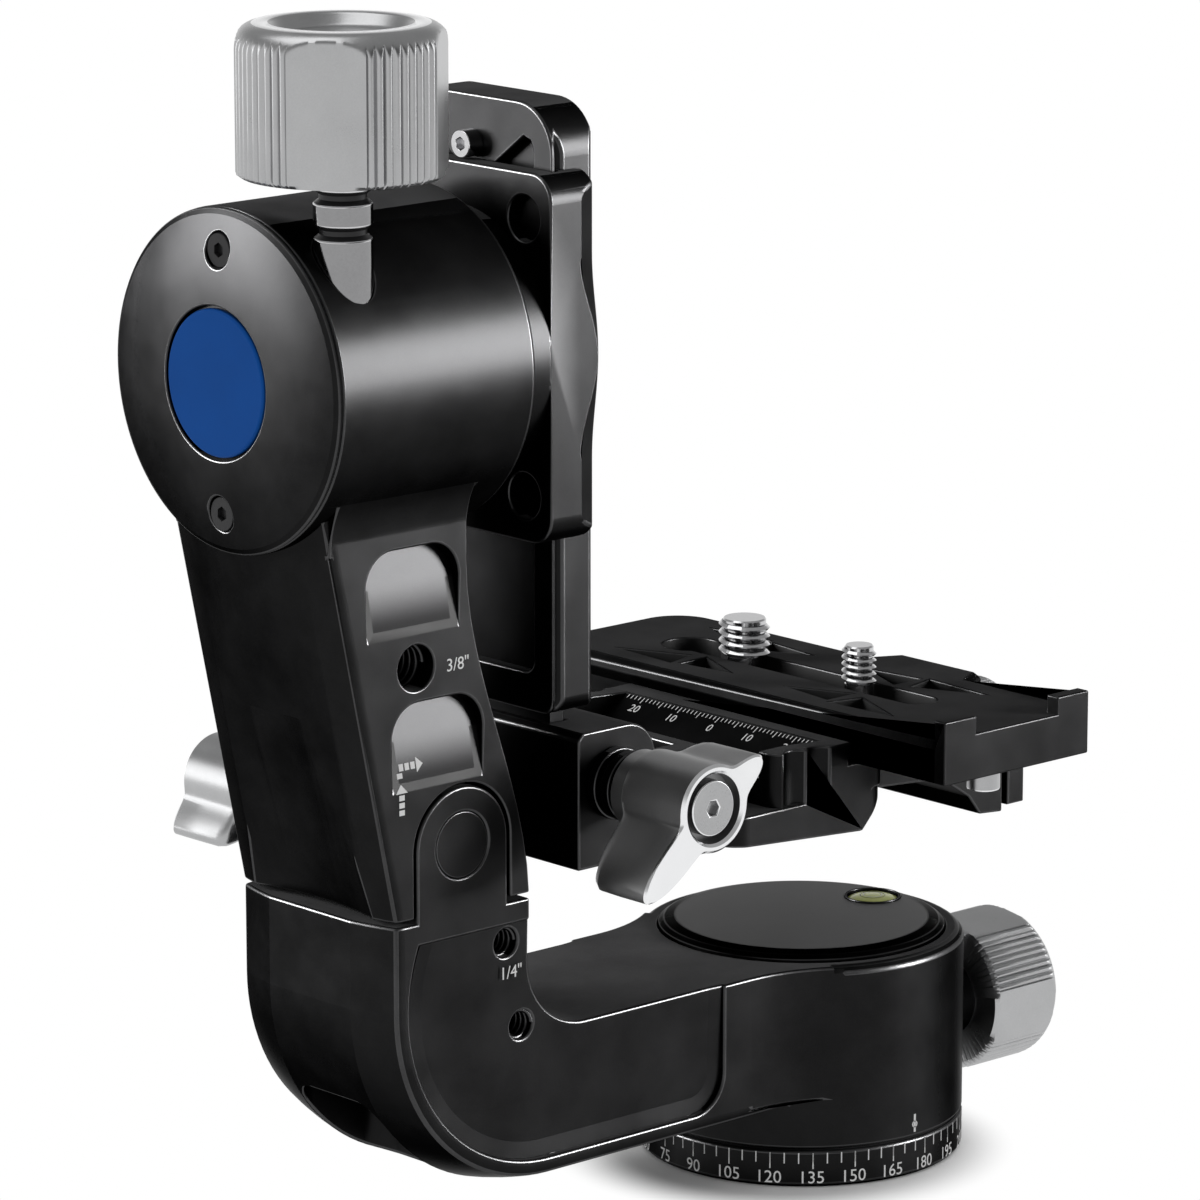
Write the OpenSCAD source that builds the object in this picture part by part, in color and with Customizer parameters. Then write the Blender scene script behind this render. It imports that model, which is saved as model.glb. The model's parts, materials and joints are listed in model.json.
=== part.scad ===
// Side-arm gimbal head for long lenses: panning base, folding L-shaped arm, tilt hub,
// sliding swing rail, platform with a quick-release clamp and a camera plate.
// Frame: origin on the pan axis at the underside of the base, +Z up, arm towards -X,
// tilt axis parallel to X. Millimetres.

/* [Base] */
// Radius of the base housing and of the scale ring under it
base_r = 30; // [28:0.5:36]
// Height of the fixed scale ring
ring_h = 7; // [6:0.5:10]
// Running gap between the scale ring and the housing
pan_gap = 0.4; // [0.3:0.1:0.8]
// Height of the base housing's top face above the tripod
housing_top = 41.5; // [41:0.5:48]
// Width of the housing's rim round the cap disc
cap_rim = 3.6; // [2:0.2:6]
// How far the cap stands above the housing
cap_rise = 1.7; // [1:0.1:3]
// Radius of the pan spindle
spindle_r = 13; // [11:0.5:14]
// Outer radius of the pan bearing
pan_bearing_r = 20; // [18:0.5:22]
// Height of the pan bearing
pan_bearing_h = 8; // [6:0.5:8]
// Wall radius of the 3/8 inch tripod thread
tripod_thread_r = 4; // [3.9:0.05:4.5]
// Outer radius of the steel tripod bush
bush_r = 7; // [6:0.5:8]
// Length of the tripod bush
bush_l = 12; // [10:0.5:14]
// Radius of the bubble level's cup
level_r = 5.25; // [4:0.25:6]
// Distance of the bubble level's centre from the housing's side
level_edge = 11.5; // [9.5:0.5:14]

/* [Lower arm] */
// Width of the arm across the tilt axis
arm_w = 41; // [38:0.5:44]
// Distance of the leg's rounded outer face from the pan axis
leg_out = 119; // [116:0.5:124]
// Distance of the leg's inner face from the pan axis
leg_in = 85.5; // [84.5:0.25:87]
// Underside of the horizontal arm above the tripod
arm_bottom = 12.6; // [11:0.2:15]
// Outer radius of the elbow
elbow_r = 38; // [34:0.5:40]
// Inner radius of the elbow
elbow_in_r = 14; // [10:0.5:16]
// Radius of the crown across the outer face
crown_r = 65; // [50:1:90]
// Rounding of the arm's outer corners
corner_r = 5; // [3:0.25:7]
// Radius of the blend between the arm and the base housing
blend_r = 30; // [20:1:40]
// Height of the seam between the lower and the upper arm
seam_z = 66.9; // [64:0.1:69]
// Height of the open seam groove
seam_gap = 0.9; // [0.6:0.1:1.2]
// Depth of the side recess at the bottom of the elbow
side_recess = 1.3; // [0.5:0.1:2]

/* [Fold] */
// Distance of the fold pin from the pan axis
pin_x = 100.9; // [99:0.1:102]
// Height of the fold pin
pin_z = 78.6; // [77:0.1:80]
// Radius of the fold pin
pin_r = 5.8; // [5:0.1:6.5]
// Radius of the rounded ears that carry the pin
ear_r = 10.3; // [9.5:0.1:11]
// Thickness of an ear
ear_t = 6; // [5:0.25:7]
// Clearance round the ears
ear_gap = 0.6; // [0.55:0.05:1]
// Travel of the upper arm when it is pulled up to fold
lift = 12; // [10:0.5:14]

/* [Upper arm] */
// Height of the tilt axis
tilt_z = 160.7; // [158:0.1:164]
// How much smaller the tilt housing's radius is than the base's
tilt_less = 0.5; // [0:0.25:2]
// Distance of the tilt housing's outer end from the pan axis
tilt_out = 134.1; // [133:0.1:136]
// Distance of the tilt housing's inner end from the pan axis
tilt_in = 91.2; // [90:0.1:93]
// Lean of the upper arm's outer face in degrees
lean = 12; // [8:0.5:14]
// Distance of the upper arm's inner face from the pan axis at its top
neck_in = 99.5; // [98:0.25:103]
// Radius of the wall of the 3/8 inch accessory thread
acc_large_r = 4; // [3.9:0.05:4.5]
// Radius of the wall of the 1/4 inch accessory threads
acc_small_r = 2.6; // [2.5:0.05:3]
// Depth of the thumb scoops on the upper arm's sides
scoop_d = 3; // [1:0.25:4]

/* [Tilt hub] */
// Radius of the tilt shaft
shaft_r = 12; // [10:0.5:13]
// Radius of the brake drum on the shaft
drum_r = 15; // [14:0.25:15.5]
// Outer radius of the tilt bearings
tilt_bearing_r = 20; // [18:0.5:22]
// Width of a tilt bearing
tilt_bearing_w = 8; // [6:0.5:9]
// Rise of the domed cover over the housing's end
cover_rise = 3.3; // [2:0.1:5]
// Radius of the badge disc in the cover
badge_r = 12.6; // [10:0.1:14]
// Distance of the cover screws from the tilt axis
cover_screw_d = 22.4; // [20:0.2:24]
// Distance of the tilt lock stem from the pan axis
stem_x = 126; // [125:0.1:127]
// Offset of the tilt lock stem in front of the tilt axis
stem_y = 20; // [19.5:0.1:20.5]
// Radius of the tilt lock stem
stem_r = 5; // [4:0.1:5.5]
// Radius of the tilt lock knob
tilt_knob_r = 18; // [15:0.25:20]
// Height of the tilt lock knob
tilt_knob_h = 25.4; // [20:0.2:30]
// Height of the tilt lock knob's underside above the tripod
tilt_knob_z = 197; // [194:0.25:200]

/* [Swing rail] */
// Thickness of the rail
rail_t = 9.9; // [9.5:0.1:10.2]
// Width of the rail
rail_w = 40; // [38:0.5:42]
// Distance of the rail's outer face from the pan axis
rail_out = 79.6; // [79.2:0.1:80]
// Bevel along the rail's front edges
rail_bevel = 1.2; // [1:0.05:1.5]
// Height of the rail's lower end
rail_low = 97.5; // [96.5:0.25:98.5]
// Height of the rail's upper end
rail_high = 203.7; // [201:0.1:210]
// Rounding of the rail's upper corners
rail_corner = 9; // [6:0.5:12]
// Height of the rail clamp along the rail
clamp_h = 64; // [60:0.5:65]
// Width of the rail clamp
clamp_w = 49; // [48.5:0.25:51]
// Thickness of the clamp's back plate
clamp_back = 4.1; // [3.8:0.1:4.4]
// Radius of the turning flange behind the clamp
flange_r = 24.8; // [23:0.2:25.2]

/* [Platform] */
// Height of the platform block's top
block_top = 94; // [92:0.25:94.5]
// Height of the platform block's underside
block_low = 69.5; // [68.5:0.25:70.5]
// Width of the platform block
block_w = 44; // [42:0.5:46]
// Length of the platform block along the tilt axis
block_l = 18.3; // [17.5:0.1:19]
// Height of the platform's deck under the plate
deck_z = 80.3; // [79:0.1:81]
// Length of the quick-release jaws
jaw_l = 60; // [50:1:66]
// Height of the quick-release screw
qr_z = 70.7; // [70.5:0.1:71.5]
// Radius of the quick-release knob
qr_knob_r = 10.3; // [9:0.1:11.5]
// Opening travel of the quick-release jaw
qr_travel = 4; // [3:0.25:5]
// Height of the platform lock's axis
lock_z = 84.3; // [83.5:0.1:85]
// Distance of the platform lock's axis from the pan axis
lock_x = 67.4; // [67:0.1:67.8]

/* [Camera plate] */
// Length of the camera plate
plate_l = 107; // [100:1:120]
// Width of the camera plate
plate_w = 36.6; // [36:0.1:38]
// Thickness of the camera plate
plate_t = 8.3; // [8:0.1:9]
// Sideways offset of the plate from the pan axis
plate_x = 1; // [0.5:0.1:1.5]
// Depth of the V groove along the plate's edges
groove_d = 2.7; // [2:0.1:3]
// Height of the lip at the plate's end
lip_h = 3.2; // [2:0.1:5]
// Width of the slot for the camera screws
slot_w = 7; // [6.8:0.1:7.6]
// Radius of the 3/8 inch camera screw
large_screw_r = 4.76; // [4.7:0.02:4.8]
// Radius of the 1/4 inch camera screw
small_screw_r = 3.175; // [3.1:0.025:3.25]
// Length of the camera screws above the plate
screw_out = 7.6; // [5:0.2:10]
// Travel of the plate each way in the clamp
plate_travel = 12; // [8:0.5:14]

/* [Small knobs] */
// Radius of the pan lock knob
pan_knob_r = 14.5; // [12:0.25:16]
// Length of the pan lock knob
pan_knob_l = 17; // [14:0.5:20]
// Height of the pan lock's axis
pan_lock_z = 20.5; // [20:0.1:21.5]
// Hub radius of the lever knobs
lever_hub_r = 7.8; // [7:0.1:8.5]
// Length of a lever knob along its axis
lever_l = 16; // [14:0.5:20]
// Reach of a lever's long wing
long_wing = 21.2; // [17:0.2:22]
// Reach of a lever's short wing
short_wing = 13.5; // [11:0.25:15]

/* [Fits] */
// Gap between fixed pieces that are pressed or bolted together
seat_gap = 0.02; // [0.01:0.01:0.04]
// Radial gap of a running fit
run_gap = 0.05; // [0.03:0.01:0.08]
// Gap between pieces that slide on each other
slide_gap = 0.25; // [0.2:0.05:0.3]
// Gap between pieces that pass each other
clear_gap = 0.4; // [0.3:0.05:0.6]

/* [Hidden] */
$fn = 96;
eps = 0.01;

black = [0.06, 0.06, 0.065];
dark = [0.16, 0.16, 0.17];
silver = [0.72, 0.73, 0.75];
steel = [0.6, 0.61, 0.63];
blue = [0.06, 0.2, 0.52];
brass = [0.75, 0.6, 0.3];
lime = [0.62, 0.7, 0.16];

// Base stack, from the tripod upwards
cap_r = base_r - cap_rim;
level_x = base_r - level_edge;
flange_h = 3;
spindle_flange_r = spindle_r + 5;
housing_low = ring_h + pan_gap;
cap_seat = 1.6;
cap_low = housing_top - cap_seat;
cap_top = housing_top + cap_rise;
nut_h = 4;
nut_r = spindle_r + 3.5;
nut_top = cap_low - 0.5;
spindle_top = nut_top - nut_h;
spindle_tip_r = 8;
pan_bearing_top = spindle_top - 0.2;
pan_bearing_low = pan_bearing_top - pan_bearing_h;
ring_screw_count = 3;
ring_screw_r = 1.5;
ring_screw_head_r = 2.8;
ring_screw_head_h = 2.1;
ring_screw_sink = 0.4;
ring_screw_d = spindle_flange_r - 2.6;
level_cup_h = 3.4;
level_rim = 0.4;
cap_t = cap_top - cap_low;

// Pan lock along +X
stud_r = 4;
brake_r = 5;
brake_l = 5.5;
collar_r = 8;
pan_knob_x = base_r + 8;

// Arm
half_w = arm_w / 2;
elbow_x = leg_out - elbow_r;
elbow_z = arm_bottom + elbow_r;
arm_top = housing_top;
lower_top = seam_z - seam_gap / 2;
upper_low = seam_z + seam_gap / 2;
ear_in = half_w - ear_t;
tongue_half = ear_in - clear_gap;
tongue_out = ear_r - 2;
tongue_room = 2.6;
block_half = pin_r + 2.6;
block_side = pin_r + 1;
slot_reach = block_half + clear_gap;
tongue_low = pin_z - lift - slot_reach - 3;
border = 6;
band_d = 0.9;
recess_end = base_r + 16;
scoop_end = base_r + 11;
recess_corner = 7;
recess_slope = 3;
recess_top = lower_top - 4;
side_depth = 0.3;
side_room = 10;
pocket_l = 20;
pocket_w = 21;
pocket_r = 4;

// Places of the accessory threads as distance from the pan axis and height
acc_small_at = [[90.7, 59.2], [86.8, 43.6]];
acc_large_at = [111.1, 111.3];

// Thumb scoops: distance of the outer edge from the pan axis and height of the top edge
scoop_high = [122, 132];
scoop_low = [116.5, 105];
scoop_h = 15;

// Nested scoops in the outer face, measured along it from the seam
flat_scoop_h = 54;
flat_scoop_run = 24;
flat_scoop_d = 1.6;
hollow_scoop_h = 36;
hollow_scoop_slope = 4;
hollow_scoop_r = 60;

// Upper arm
smooth_steps = 12;
neck_low_z = seam_z - 1;
neck_high_z = 128;
hub_blend_r = 18;
hub_blend_less = 0.12;
hub_blend_x = leg_out + 11;

// Tilt hub along X
tilt_r = base_r - tilt_less;
stem_bore_l = 60;
cover_x = tilt_out + cover_rise;
drum_w = 11;
drum_out = stem_x + drum_w / 2;
chamber_r = drum_r + 1;
outer_bearing_x = stem_x - drum_w / 2 - 1.8;
inner_bearing_x = tilt_in + 1.6 + tilt_bearing_w;
brake_shoe_r = 6;
brake_shoe_h = 20;
stem_tip_r = 3;
cover_screw_r = 1.5;
cover_screw_head_r = 2.9;

// Rail and clamp
half_rail = rail_w / 2;
clamp_x = rail_out + slide_gap + clamp_back;
flange_w = tilt_in - clear_gap - clamp_x;
clamp_low = tilt_z - clamp_h / 2;
clamp_high = tilt_z + clamp_h / 2;
clamp_front = rail_out - rail_t + 1.9;
bulge = 1.9;
bulge_half = 17.8;
relief_swell = 4.1;
relief_slope = 15;
groove_lip = 0.45;
groove_half = 0.95;
rail_foot_r = 3;
rail_pocket = 15;
rail_pocket_d = 2.2;
stop_screw_r = 2.4;
stop_screw_out = 3.2;
jaw_bolt_r = 1;
jaw_bolt_head_r = 1.6;
tongue_t = 3.7;
rail_tongue_w = 24;
platform_drop = 6;
rail_tongue_low = block_top - platform_drop - 12.5;
rail_tongue_x = rail_out - rail_t + tongue_t;

// Platform
block_out = rail_out - 4.1;
block_in = block_out - block_l;
block_round = 6.8;
block_bevel = 1.2;
shoe_t = 2.6;
tongue_floor = rail_tongue_low - 1;
jaw_front = plate_x - plate_w / 2;
jaw_back = plate_x + plate_w / 2;
plate_low = deck_z + slide_gap + 0.05;
plate_top = plate_low + plate_t;
groove_z = plate_low + 3.2;
jaw_top = groove_z + 0.5;
nose_gap = 0.3;
body_end = 21.8;
qr_slit = 1.4;
qr_jaw_t = 4.2;
qr_jaw_x = body_end + qr_slit;
qr_jaw_low = qr_z - 5;
qr_standoff = 6;
qr_knob_x = qr_jaw_x + qr_jaw_t + qr_standoff;
qr_knob_l = 15;
guide_y = jaw_l / 2 - 9;
guide_z = deck_z - 4.1;
guide_r = 2;
guide_l = qr_travel + 11;
qr_stud_in = qr_travel + 2;
slab_out = 46;
slab_in = 8;
boss_out = 35.4;
boss_t = 5;
foot_x = 7.4;
layer_z = deck_z - 5.3;
deck_half = jaw_l / 2 - 3;
neck_half = block_w / 2 - 4;

// Lever knobs: directions of the wings and the step along the outline
long_wing_at = 220.4;
short_wing_at = 32.7;
wing_sharpness = 30;
wing_start = 1.4;
lever_step = 3;
lever_neck = 3;
lever_cap_d = 3;
fold_standoff = 9.1;
fold_lever_turn = 105.6;
lock_standoff = 10;
stud_in = 7;

// Plate
plate_near = -plate_l / 2;
plate_far = plate_l / 2;
end_t = 2.8;
web_t = 3.5;
channel_w = 14;
slot_near = -32;
slot_far = 36;
large_y = 16.6;
small_y = -13.5;
head_r = 6.5;
large_neck_r = 3.1;
small_neck_r = 2.6;
pocket_mid = 2;
stop_pin_l = 5;
stop_pin_r = 3;
stop_pin_y = jaw_l / 2 + plate_travel + stop_pin_r + slide_gap;

// Reach of a lever knob's outline at an angle: a round hub with two tapering wings
function wing_rise(t, at, reach) =
    (reach - lever_hub_r) * pow(max(0, cos(t - at)), wing_sharpness);
function lever_reach(t) = lever_hub_r + wing_rise(t, long_wing_at, long_wing)
                          + wing_rise(t, short_wing_at, short_wing);

// Outline of a lever knob's end face
module lever_outline() {
    polygon([for (t = [0 : lever_step : 360 - lever_step])
                 lever_reach(t) * [cos(t), sin(t)]]);
}

// A lever knob with its axis along +Z, sitting on z = 0
module lever_body() {
    difference() {
        union() {
            translate([0, 0, wing_start]) linear_extrude(lever_l - wing_start) lever_outline();
            cylinder(r = lever_hub_r - 0.4, h = wing_start + 1);
            translate([0, 0, -lever_neck]) cylinder(r = lever_hub_r - 0.8, h = lever_neck + eps);
        }
        translate([0, 0, lever_l - lever_cap_d]) cylinder(r = lever_hub_r - 1.6, h = lever_cap_d + 1);
        translate([0, 0, -lever_neck - 1]) cylinder(r = stud_r + seat_gap, h = lever_l + lever_neck + 2);
    }
}

// Stepped collar between a lever and the piece it clamps, sitting on z = 0
module lever_collar(l) {
    cylinder(r = lever_hub_r - 2.6, h = l);
    cylinder(r = lever_hub_r - 1.4, h = 1.8);
    translate([0, 0, 3]) cylinder(r = lever_hub_r - 1.6, h = 2);
}

// A cap screw for a lever, seated in the lever's recess
module lever_cap() {
    difference() {
        translate([0, 0, lever_l - lever_cap_d]) cylinder(r = lever_hub_r - 2.9, h = lever_cap_d - 0.6);
        translate([0, 0, lever_l - 1.8]) cylinder(r = 1.45, h = lever_cap_d, $fn = 6);
    }
}

// A clamping knob with flats and flutes, axis along +Z, sitting on z = 0
module fluted_knob(r, h, flats, flutes, recess_r, recess_d, shoulder) {
    step = 360 / flats;
    flute_r = r * 0.042;
    flat_at = r * 0.93;
    difference() {
        rotate_extrude() polygon([[0, 0], [r - 1, 0], [r, 1], [r, h - shoulder],
                                  [r - shoulder * 0.3, h - shoulder * 0.3], [r - shoulder, h],
                                  [recess_r, h], [recess_r - 1, h - recess_d], [0, h - recess_d]]);
        for (i = [0 : flats - 1]) rotate(i * step) {
            translate([flat_at, -r, -1]) cube([r, 2 * r, h + 2]);
            for (k = [0 : flutes - 1])
                rotate(step / 2 + (k - (flutes - 1) / 2) * 5.2)
                    translate([r, 0, -1]) cylinder(r = flute_r, h = h + 2, $fn = 24);
        }
    }
}

// Section of the arm from the elbow's centre line to the crowned outer face,
// with a flat band along the crown
module arm_section(reach, band) {
    intersection() {
        translate([reach - crown_r, 0]) circle(crown_r, $fn = 180);
        translate([0, -half_w]) square([reach - band, arm_w]);
        union() {
            translate([0, -half_w]) square([reach - corner_r, arm_w]);
            translate([0, -half_w + corner_r]) square([reach + 1, arm_w - 2 * corner_r]);
            for (s = [-1, 1])
                translate([reach - corner_r, s * (half_w - corner_r)]) circle(corner_r);
        }
    }
}

// Turns a drawing in X and Z into a solid that spans y0 to y1
module along_y(y0, y1) {
    translate([0, y1, 0]) rotate([90, 0, 0]) linear_extrude(y1 - y0) children();
}

// Ear outline round the fold pin, drawn in X and Z
module ear_outline(grow, low) {
    translate([-pin_x, pin_z]) circle(ear_r + grow);
    translate([-pin_x - ear_r - grow, low]) square([2 * (ear_r + grow), pin_z - low]);
}

// Tongue of the upper arm between the ears, drawn in X and Z
module tongue_outline(room, low) {
    translate([-pin_x - tongue_out - room, low])
        square([2 * (tongue_out + room), upper_low + 4 - low]);
}

// Inner side of the elbow, drawn in X and Z
module elbow_inside() {
    difference() {
        translate([-leg_in, arm_top]) square([leg_in + base_r, lower_top]);
        difference() {
            translate([-leg_in - eps, arm_top - eps]) square([elbow_in_r + eps, elbow_in_r + eps]);
            translate([-leg_in + elbow_in_r, arm_top + elbow_in_r]) circle(elbow_in_r);
        }
    }
}

// Side recess with sloping walls, tilted so that it fades out towards the top
module side_recess_cut() {
    r = elbow_r - border;
    low = elbow_z - r;
    fade = atan(side_recess / (recess_top - low));
    translate([0, -half_w, recess_top]) rotate([fade, 0, 0]) translate([0, 0, -recess_top])
        difference() {
            union() {
                translate([-elbow_x, 0, elbow_z]) rotate([-90, 0, 0]) recess_cone(r);
                translate([-recess_end, 0, low + recess_corner]) rotate([-90, 0, 0])
                    recess_cone(recess_corner);
                translate([-elbow_x, 0, 0]) rotate([90, 0, 90])
                    linear_extrude(elbow_x - recess_end)
                        polygon([[-side_room, low], [0, low], [side_depth, low + recess_slope],
                                 [side_depth, elbow_z + r], [-side_room, elbow_z + r]]);
                translate([-recess_end - eps, 0, low + recess_corner])
                    linear_extrude(elbow_z + r - low - recess_corner)
                        polygon([[0, -side_room], [recess_corner, -side_room], [recess_corner, 0],
                                 [recess_corner - recess_slope, side_depth], [0, side_depth]]);
            }
            translate([-leg_out, -side_room - 1, recess_top])
                cube([leg_out, side_room + side_depth + 2, 2 * elbow_r]);
        }
}

// Cone that forms a round part of the recess wall, pointing into the arm
module recess_cone(r) {
    translate([0, 0, -side_room]) cylinder(r = r, h = side_room + eps);
    cylinder(r1 = r, r2 = r - recess_slope, h = side_depth);
}

module scale_ring() {
    color(black) difference() {
        rotate_extrude() polygon([[0, 0], [base_r - 0.8, 0], [base_r, 0.8], [base_r, ring_h - 0.4],
                                  [base_r - 0.4, ring_h], [0, ring_h]]);
        translate([0, 0, -1]) cylinder(r = bush_r + seat_gap, h = ring_h + 2);
        for (i = [0 : ring_screw_count - 1]) rotate(i * 360 / ring_screw_count + 30)
            translate([ring_screw_d, 0, -1]) {
                cylinder(r = ring_screw_r + 0.1, h = ring_h + 2);
                cylinder(r = ring_screw_head_r + 0.2, h = 1 + ring_screw_sink + ring_screw_head_h);
            }
    }
}

module ring_screws() {
    color(steel) for (i = [0 : ring_screw_count - 1]) rotate(i * 360 / ring_screw_count + 30)
        translate([ring_screw_d, 0, ring_screw_sink]) difference() {
            union() {
                cylinder(r = ring_screw_head_r, h = ring_screw_head_h);
                cylinder(r = ring_screw_r, h = ring_h + flange_h - ring_screw_sink - 0.4);
            }
            translate([0, 0, -1]) cylinder(r = 1.2, h = 2.2, $fn = 6);
        }
}

module tripod_bush() {
    color(steel) difference() {
        cylinder(r = bush_r, h = bush_l);
        translate([0, 0, -1]) cylinder(r = tripod_thread_r, h = bush_l + 2);
    }
}

module pan_spindle() {
    color(steel) difference() {
        union() {
            translate([0, 0, ring_h]) cylinder(r = spindle_flange_r, h = flange_h);
            translate([0, 0, ring_h]) cylinder(r = spindle_r, h = spindle_top - ring_h);
            cylinder(r = spindle_tip_r, h = nut_top);
        }
        translate([0, 0, -1]) cylinder(r = bush_r + seat_gap, h = bush_l + 1);
        translate([0, 0, -1]) cylinder(r = spindle_tip_r + 1, h = ring_h + 1);
        for (i = [0 : ring_screw_count - 1]) rotate(i * 360 / ring_screw_count + 30)
            translate([ring_screw_d, 0, -1])
                cylinder(r = ring_screw_r + seat_gap, h = ring_h + flange_h + 0.7);
    }
}

module pan_nut() {
    color(steel) translate([0, 0, spindle_top]) difference() {
        cylinder(r = nut_r, h = nut_h);
        translate([0, 0, -1]) cylinder(r = spindle_tip_r + seat_gap, h = nut_h + 2);
        for (a = [0, 180]) rotate(a) translate([nut_r - 4, 0, nut_h - 2]) cylinder(r = 1.5, h = 3);
    }
}

// Concave blend between the arm's sides and the base housing
module arm_blend() {
    cy = half_w + blend_r;
    cx = sqrt(pow(base_r + blend_r, 2) - cy * cy);
    share = base_r / (base_r + blend_r);
    low = arm_bottom + 4;
    translate([0, 0, low]) linear_extrude(arm_top - low) difference() {
        polygon([[-cx, half_w], [-cx * share, cy * share], [0, 0],
                 [-cx * share, -cy * share], [-cx, -half_w]]);
        for (s = [-1, 1]) translate([-cx, s * cy]) circle(blend_r);
    }
}

module lower_arm_shell() {
    translate([0, 0, housing_low]) rotate_extrude()
        polygon([[0, 0], [base_r, 0], [base_r, housing_top - housing_low - 1.2],
                 [base_r - 1.2, housing_top - housing_low], [0, housing_top - housing_low]]);
    arm_blend();
    // Horizontal arm, elbow and leg share one section
    translate([-elbow_x, 0, elbow_z]) rotate([0, 90, 0])
        linear_extrude(elbow_x - base_r / 2) arm_section(elbow_r, band_d);
    translate([-elbow_x, 0, elbow_z]) rotate([90, 0, 0]) rotate(180)
        rotate_extrude(angle = 90) arm_section(elbow_r, band_d);
    translate([-elbow_x, 0, elbow_z]) mirror([1, 0, 0])
        linear_extrude(lower_top - elbow_z) arm_section(elbow_r, band_d);
}

module lower_arm() {
    color(black) difference() {
        union() {
            difference() {
                lower_arm_shell();
                along_y(-half_w - 20, half_w + 20) elbow_inside();
                side_recess_cut();
                mirror([0, 1, 0]) side_recess_cut();
                // Scoop in the top face between the elbow and the base
                translate([-scoop_end, 0, arm_top]) rotate([0, 4, 0])
                    translate([-30, -half_w + 5, 0]) cube([30, arm_w - 10, 10]);
                // Weight-saving pocket under the elbow
                translate([-leg_out + 6, 0, 0]) linear_extrude(elbow_z - 17) union() {
                    translate([0, -pocket_w / 2 + pocket_r])
                        square([pocket_l, pocket_w - 2 * pocket_r]);
                    translate([pocket_r, -pocket_w / 2]) square([pocket_l - 2 * pocket_r, pocket_w]);
                    for (x = [pocket_r, pocket_l - pocket_r], s = [-1, 1])
                        translate([x, s * (pocket_w / 2 - pocket_r)]) circle(pocket_r);
                }
            }
            for (s = [-1, 1])
                along_y(s < 0 ? -half_w : ear_in, s < 0 ? -ear_in : half_w)
                    ear_outline(0, lower_top - 3);
        }
        // Room for the spindle, the bearing, the nut and the cap
        translate([0, 0, housing_low - 1])
            cylinder(r = spindle_flange_r + clear_gap, h = ring_h + flange_h + 1 + clear_gap - housing_low);
        cylinder(r = spindle_r + clear_gap, h = pan_bearing_top);
        translate([0, 0, pan_bearing_low])
            cylinder(r = pan_bearing_r + seat_gap, h = housing_top);
        translate([0, 0, cap_low]) cylinder(r = cap_r + seat_gap, h = housing_top);
        // Pan lock bore
        translate([spindle_r - 2, 0, pan_lock_z]) rotate([0, 90, 0])
            cylinder(r = brake_r + run_gap, h = brake_l + 4);
        translate([spindle_r, 0, pan_lock_z]) rotate([0, 90, 0])
            cylinder(r = stud_r + run_gap, h = 2 * base_r);
        // Fold pin bore and the room for the tongue
        translate([-pin_x, half_w + 1, pin_z]) rotate([90, 0, 0])
            cylinder(r = pin_r + run_gap, h = arm_w + 2);
        along_y(-ear_in, ear_in) tongue_outline(tongue_room, tongue_low - 1);
        // Accessory threads on the front
        for (p = acc_small_at) translate([-p[0], -half_w - 1, p[1]]) rotate([-90, 0, 0])
            cylinder(r = acc_small_r, h = ear_t + 1);
    }
}

module pan_bearing() {
    color(steel) translate([0, 0, pan_bearing_low]) rotate_extrude() {
        translate([spindle_r + run_gap, 0])
            square([pan_bearing_r - spindle_r - run_gap, pan_bearing_h]);
    }
}

module pan_cap() {
    color(dark) difference() {
        translate([0, 0, cap_low]) rotate_extrude()
            polygon([[0, 0], [cap_r, 0], [cap_r, cap_t - 1.2], [cap_r - 1, cap_t - 0.5],
                     [cap_r - 3, cap_t], [0, cap_t]]);
        translate([level_x, 0, cap_top - 2.6]) cylinder(r = level_r + seat_gap, h = 5);
    }
}

module level_cup() {
    color(dark) translate([level_x, 0, cap_top - 2.6]) difference() {
        cylinder(r = level_r, h = 2.9);
        translate([0, 0, 0.6]) cylinder(r = level_r - level_rim, h = level_cup_h);
    }
}

module level_vial() {
    color(lime) translate([level_x, 0, cap_top - 2]) rotate_extrude()
        polygon([[0, 0], [level_r - level_rim - seat_gap, 0],
                 [level_r - level_rim - seat_gap, 2], [level_r - 2 * level_rim, 2.4], [0, 2.4]]);
}

module pan_brake_shoe() {
    color(brass) difference() {
        translate([spindle_r - 2, 0, pan_lock_z]) rotate([0, 90, 0])
            cylinder(r = brake_r, h = brake_l + 2);
        cylinder(r = spindle_r + slide_gap, h = housing_top);
    }
}

module pan_knob() {
    color(silver) translate([pan_knob_x, 0, pan_lock_z]) rotate([0, 90, 0]) difference() {
        rotate(9) fluted_knob(pan_knob_r, pan_knob_l, 4, 8, pan_knob_r * 0.62, 1.6, 3);
        translate([0, 0, -1]) cylinder(r = stud_r + seat_gap, h = stud_in + 2);
    }
}

module pan_stud() {
    color(black) translate([0, 0, pan_lock_z]) rotate([0, 90, 0]) {
        translate([0, 0, spindle_r + brake_l + clear_gap])
            cylinder(r = stud_r, h = pan_knob_x + stud_in - spindle_r - brake_l - clear_gap);
        translate([0, 0, base_r + 0.6]) cylinder(r = collar_r, h = pan_knob_x - base_r - 0.6);
    }
}

module fold_slide_block() {
    color(steel) difference() {
        translate([-pin_x - block_side, -tongue_half + slide_gap, pin_z - block_half])
            cube([2 * block_side, 2 * (tongue_half - slide_gap), 2 * block_half]);
        translate([-pin_x, half_w, pin_z]) rotate([90, 0, 0])
            cylinder(r = pin_r + run_gap, h = arm_w);
    }
}

module fold_pin() {
    color(black) translate([-pin_x, 0, pin_z]) rotate([-90, 0, 0]) {
        translate([0, 0, -half_w + 0.2]) cylinder(r = pin_r, h = arm_w - 0.2);
        translate([0, 0, half_w + clear_gap]) lever_collar(fold_standoff - lever_neck);
        translate([0, 0, half_w - eps]) cylinder(r = stud_r, h = fold_standoff + lever_l - 2 * lever_neck);
    }
}

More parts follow.
